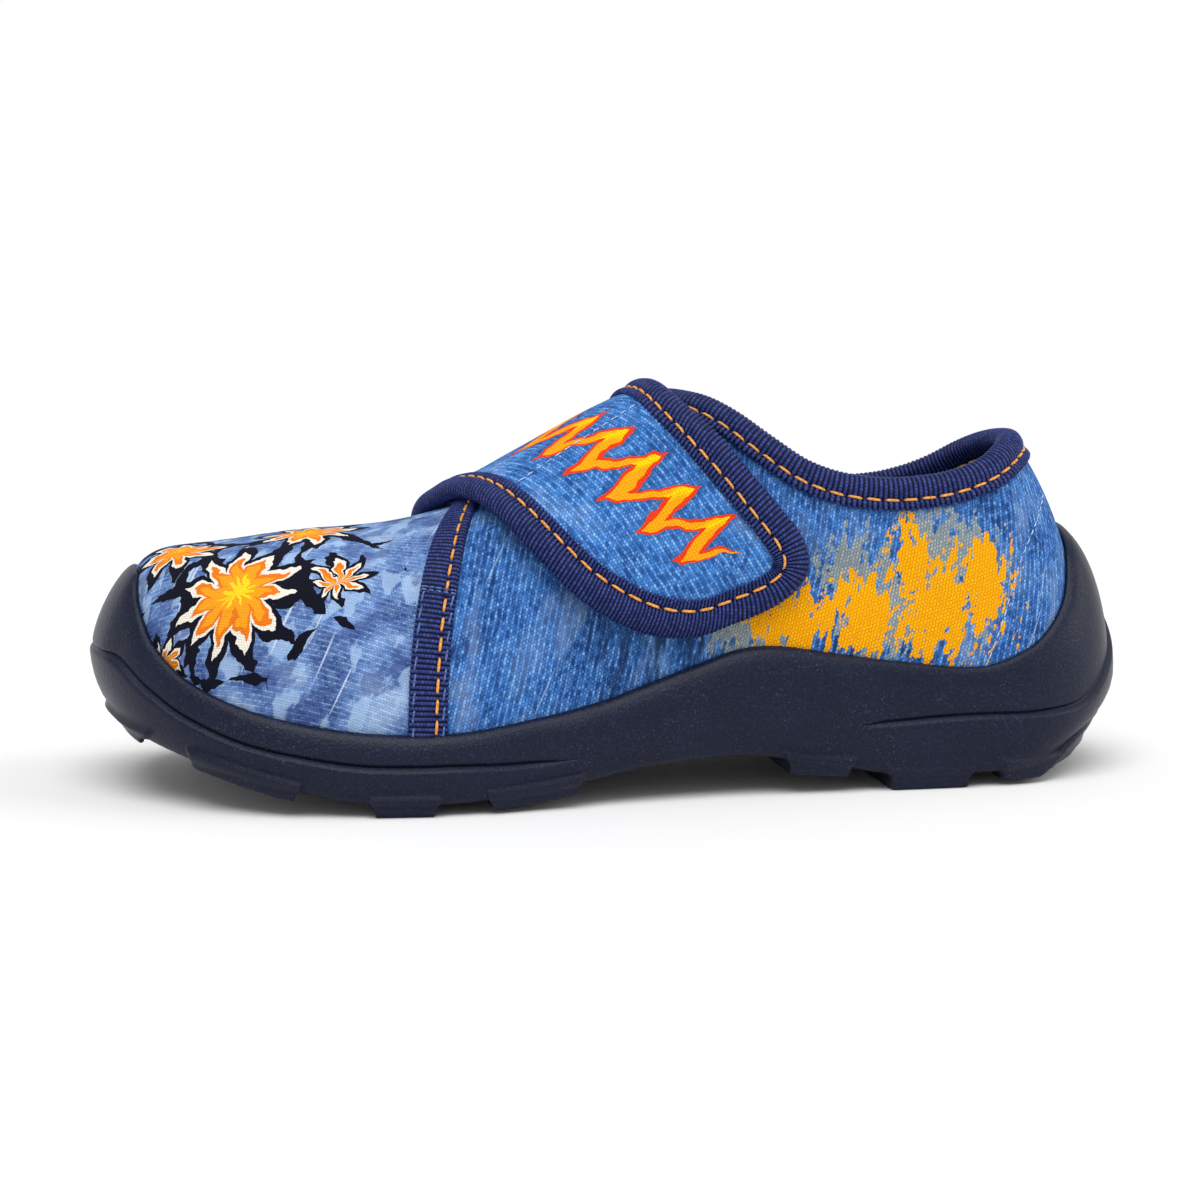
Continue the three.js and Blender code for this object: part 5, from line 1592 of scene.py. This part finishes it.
insole_rings = np.array([insole_ring(height * MM, inset * MM) for height, inset in INSOLE_EDGE])
strips = np.concatenate([across(insole_rings[k], INSOLE_COLUMNS) for k in (-1, 0)])
rings_end = insole_rings.shape[0] * insole_rings.shape[1]
strip_end = rings_end + len(INSOLE_TURNS) * (INSOLE_COLUMNS + 1)
insole_points = np.concatenate([insole_rings.reshape(-1, 3), strips.reshape(-1, 3)])
insole_faces = np.concatenate(
    [
        grid_faces(len(insole_rings), insole_rings.shape[1], wrap_columns=True),
        grid_faces(len(INSOLE_TURNS), INSOLE_COLUMNS + 1, first=rings_end),
        grid_faces(len(INSOLE_TURNS), INSOLE_COLUMNS + 1, first=strip_end),
    ]
)
insole_cloth = insole_points[:, :2].copy()
insole = mesh_piece("insole_pad", insole_points, insole_faces, [lining], insole_cloth)
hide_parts("insole")

# %% [markdown]
# The orange thread runs in the groove of each tape, and comes through on the inside of the collar.
# A pale thread closes the seam behind the heel and crosses the strap where its fastener is sewn
# under it. A blue one holds the side seams' tape with two columns and a bar at their top.

# %% The orange thread
BOLD = {"pitch": 3.5 * MM, "length": 2.75 * MM, "radius": 0.27 * MM, "sway": 0.12 * MM}
STITCH_LINE = 3.6 * MM  # from the fold of the tape
THREAD_LIFT = 0.35 * MM  # of the thread's middle over the bottom of the groove
OUTSIDE_LIFT, INSIDE_LIFT = 0.7 * MM, -3.0 * MM  # of the collar's two threads over the canvas
SEAM_STITCHES, SEAM_LIFT = 1.45 * MM, 0.85 * MM  # how far behind the seam's middle, and over the canvas


def round_collar(lift):
    """Stitches round the collar, at a height over the canvas."""
    line, up = on_last(collar_edge - collar_up * STITCH_LINE, lift)
    turned = up * np.sign(lift)
    return stitched(*(np.concatenate([part, part[:1]]) for part in (line, turned)), **BOLD)


strap_line = strap_outline + strap_inward * (STITCH_LINE - 0.1 * MM)
groove = np.full(len(strap_line), 2.6 * MM)
strap_thread = strap_point(strap_line, groove + THREAD_LIFT)
strap_thread_up = strap_point(strap_line, groove + MM) - strap_point(strap_line, groove)
orange = [round_collar(OUTSIDE_LIFT), round_collar(INSIDE_LIFT)]
orange.append(stitched(strap_thread, strap_thread_up, **BOLD))
for side in (1.0, -1.0):
    line, _, rear = seam_line(side, *SEAM_RISE)
    behind_seam = line + rear * (SEAM_STITCHES * seam_width(line))[:, None]
    orange.append(stitched(*on_last(behind_seam, SEAM_LIFT), **BOLD))
points, faces = joined(orange)
mesh_piece("orange_topstitching", points, faces, [orange_thread])

# %% The pale thread
FINE = {"pitch": 2.0 * MM, "length": 1.45 * MM, "radius": 0.13 * MM}
HEEL_SEAM = table(
    "x z", (-82.5, 53.5), (-79, 50), (-76, 46), (-73.2, 42), (-71.4, 38), (-69.8, 33), (-67.6, 27), (-65, 21)
)
STRAP_SEAM = table("along drop", (0.2, 0.215), (-0.1, 0.182), (-0.38, 0.158), (-0.72, 0.115))


def heel_line(side):
    """The seam behind the heel, from its places seen from the side."""
    line = on_side(HEEL_SEAM["x"] * MM, HEEL_SEAM["z"] * MM, side)
    return softened(resampled(line, RIB_STEP), 200)


pale = [stitched(*on_last(heel_line(side), 0.1 * MM), **FINE) for side in (1.0, -1.0)]
strap_seam = np.stack([STRAP_SEAM["along"] * STRAP_WIDTH, STRAP_SEAM["drop"] * HALF_GIRTH], -1)
strap_seam = softened(resampled(strap_seam, RIB_STEP), 100)
on_strap = np.full(len(strap_seam), STRAP_BASE + STRAP_THICKNESS + 0.1 * MM)
strap_seam_up = strap_point(strap_seam, on_strap + MM) - strap_point(strap_seam, on_strap)
pale.append(stitched(strap_point(strap_seam, on_strap), strap_seam_up, **FINE))
points, faces = joined(pale)
mesh_piece("pale_topstitching", points, faces, [pale_thread])

# %% The blue thread
COLUMN = {"pitch": 3.1 * MM, "length": 2.5 * MM, "radius": 0.2 * MM, "sway": 0.3 * MM}
BAR = {"pitch": 1.1 * MM, "length": 1.0 * MM, "radius": 0.2 * MM}
BLUE_RISE = (0.12, 0.49)  # in instep heights
blue = []
for side in (1.0, -1.0):
    line, _, rear = seam_line(side, *BLUE_RISE)
    for offset in (-2.6, 2.6):
        blue.append(stitched(*on_last(line + rear * offset * MM, 1.0 * MM), **COLUMN))
    bar = line[-1] + rear[-1] * np.linspace(-3.2, 3.2, 33)[:, None] * MM
    for step in (-0.3, 0.3):
        blue.append(stitched(*on_last(bar + directions(line)[-1] * step * MM, 1.15 * MM), **BAR))
points, faces = joined(blue)
mesh_piece("blue_topstitching", points, faces, [blue_thread])

# %% [markdown]
# A photographer would set this shoe on white paper under two broad lamps, one overhead and a weaker
# one behind the heel. Each is a very wide sun here, so that its shadows are soft. The sky is bright
# at the horizon, so the paper runs into it without a line, and weaker above, so that the lamps draw
# the forms.

# %% Floor, light and camera
TARGET = Vector((2.66, -0.09, 32.6)) * MM
AZIMUTH, ELEVATION, DISTANCE = np.radians(170), np.radians(7), 480 * MM
FOCAL_PIXELS = 2544  # on the photograph's 1200
FLOOR_RADIUS, FLOOR_SIDES = 0.9, 96
HORIZON, ABOVE = 1.0, 0.5  # strength of the sky
PIXELS, SENSOR = 1200, 36  # the photograph's width, and the camera's in mm

floor_mesh = bpy.data.meshes.new("floor")
angle = np.linspace(0, 2 * np.pi, FLOOR_SIDES, endpoint=False)
floor_ring = np.stack([np.cos(angle), np.sin(angle), 0 * angle], -1) * FLOOR_RADIUS
floor_mesh.from_pydata(floor_ring.tolist(), [], [list(range(FLOOR_SIDES))])
floor = bpy.data.objects.new("floor", floor_mesh)
bpy.context.scene.collection.objects.link(floor)
paper, _, paper_shader = material("matt white paper")
paper_shader.inputs["Base Color"].default_value = linear("#e6e6e6")
paper_shader.inputs["Roughness"].default_value = 0.9
floor_mesh.materials.append(paper)

world = bpy.data.worlds.new("studio")
bpy.context.scene.world = world
world.use_nodes = True
sky = world.node_tree
rise = add(sky, "SeparateXYZ", {0: add(sky, "TexCoord", {}, "Generated")}, 2)
strength = add(sky, "MapRange", {0: rise, 1: 0.12, 2: 0.5, 3: HORIZON, 4: ABOVE})
sky.nodes["Background"].inputs[0].default_value = (1, 1, 1, 1)
sky.links.new(strength, sky.nodes["Background"].inputs[1])


def soft_sun(name, where, strength, degrees):
    """A sun so wide that its shadows are soft, shining from a direction."""
    data = bpy.data.lights.new(name, "SUN")
    data.energy, data.angle = strength, np.radians(degrees)
    lamp = bpy.data.objects.new(name, data)
    bpy.context.scene.collection.objects.link(lamp)
    lamp.rotation_mode = "QUATERNION"
    lamp.rotation_quaternion = Vector(where).to_track_quat("Z", "Y")


soft_sun("overhead", (0.1, 0.42, 1.0), 2.3, 50)
soft_sun("behind", (-1.0, 0.15, 0.6), 0.8, 40)
bpy.context.scene.view_settings.view_transform = "Standard"

camera_data = bpy.data.cameras.new("camera")
camera_data.sensor_width = SENSOR
camera_data.lens = SENSOR * FOCAL_PIXELS / PIXELS
camera_data.clip_start, camera_data.clip_end = 0.01, 20
camera = bpy.data.objects.new("camera", camera_data)
bpy.context.scene.collection.objects.link(camera)
level_out = np.cos(ELEVATION)
back = Vector((np.sin(AZIMUTH) * level_out, -np.cos(AZIMUTH) * level_out, np.sin(ELEVATION)))
camera.location = TARGET + back * DISTANCE
camera.rotation_mode = "QUATERNION"
camera.rotation_quaternion = (-back).to_track_quat("-Z", "Y")
bpy.context.scene.camera = camera
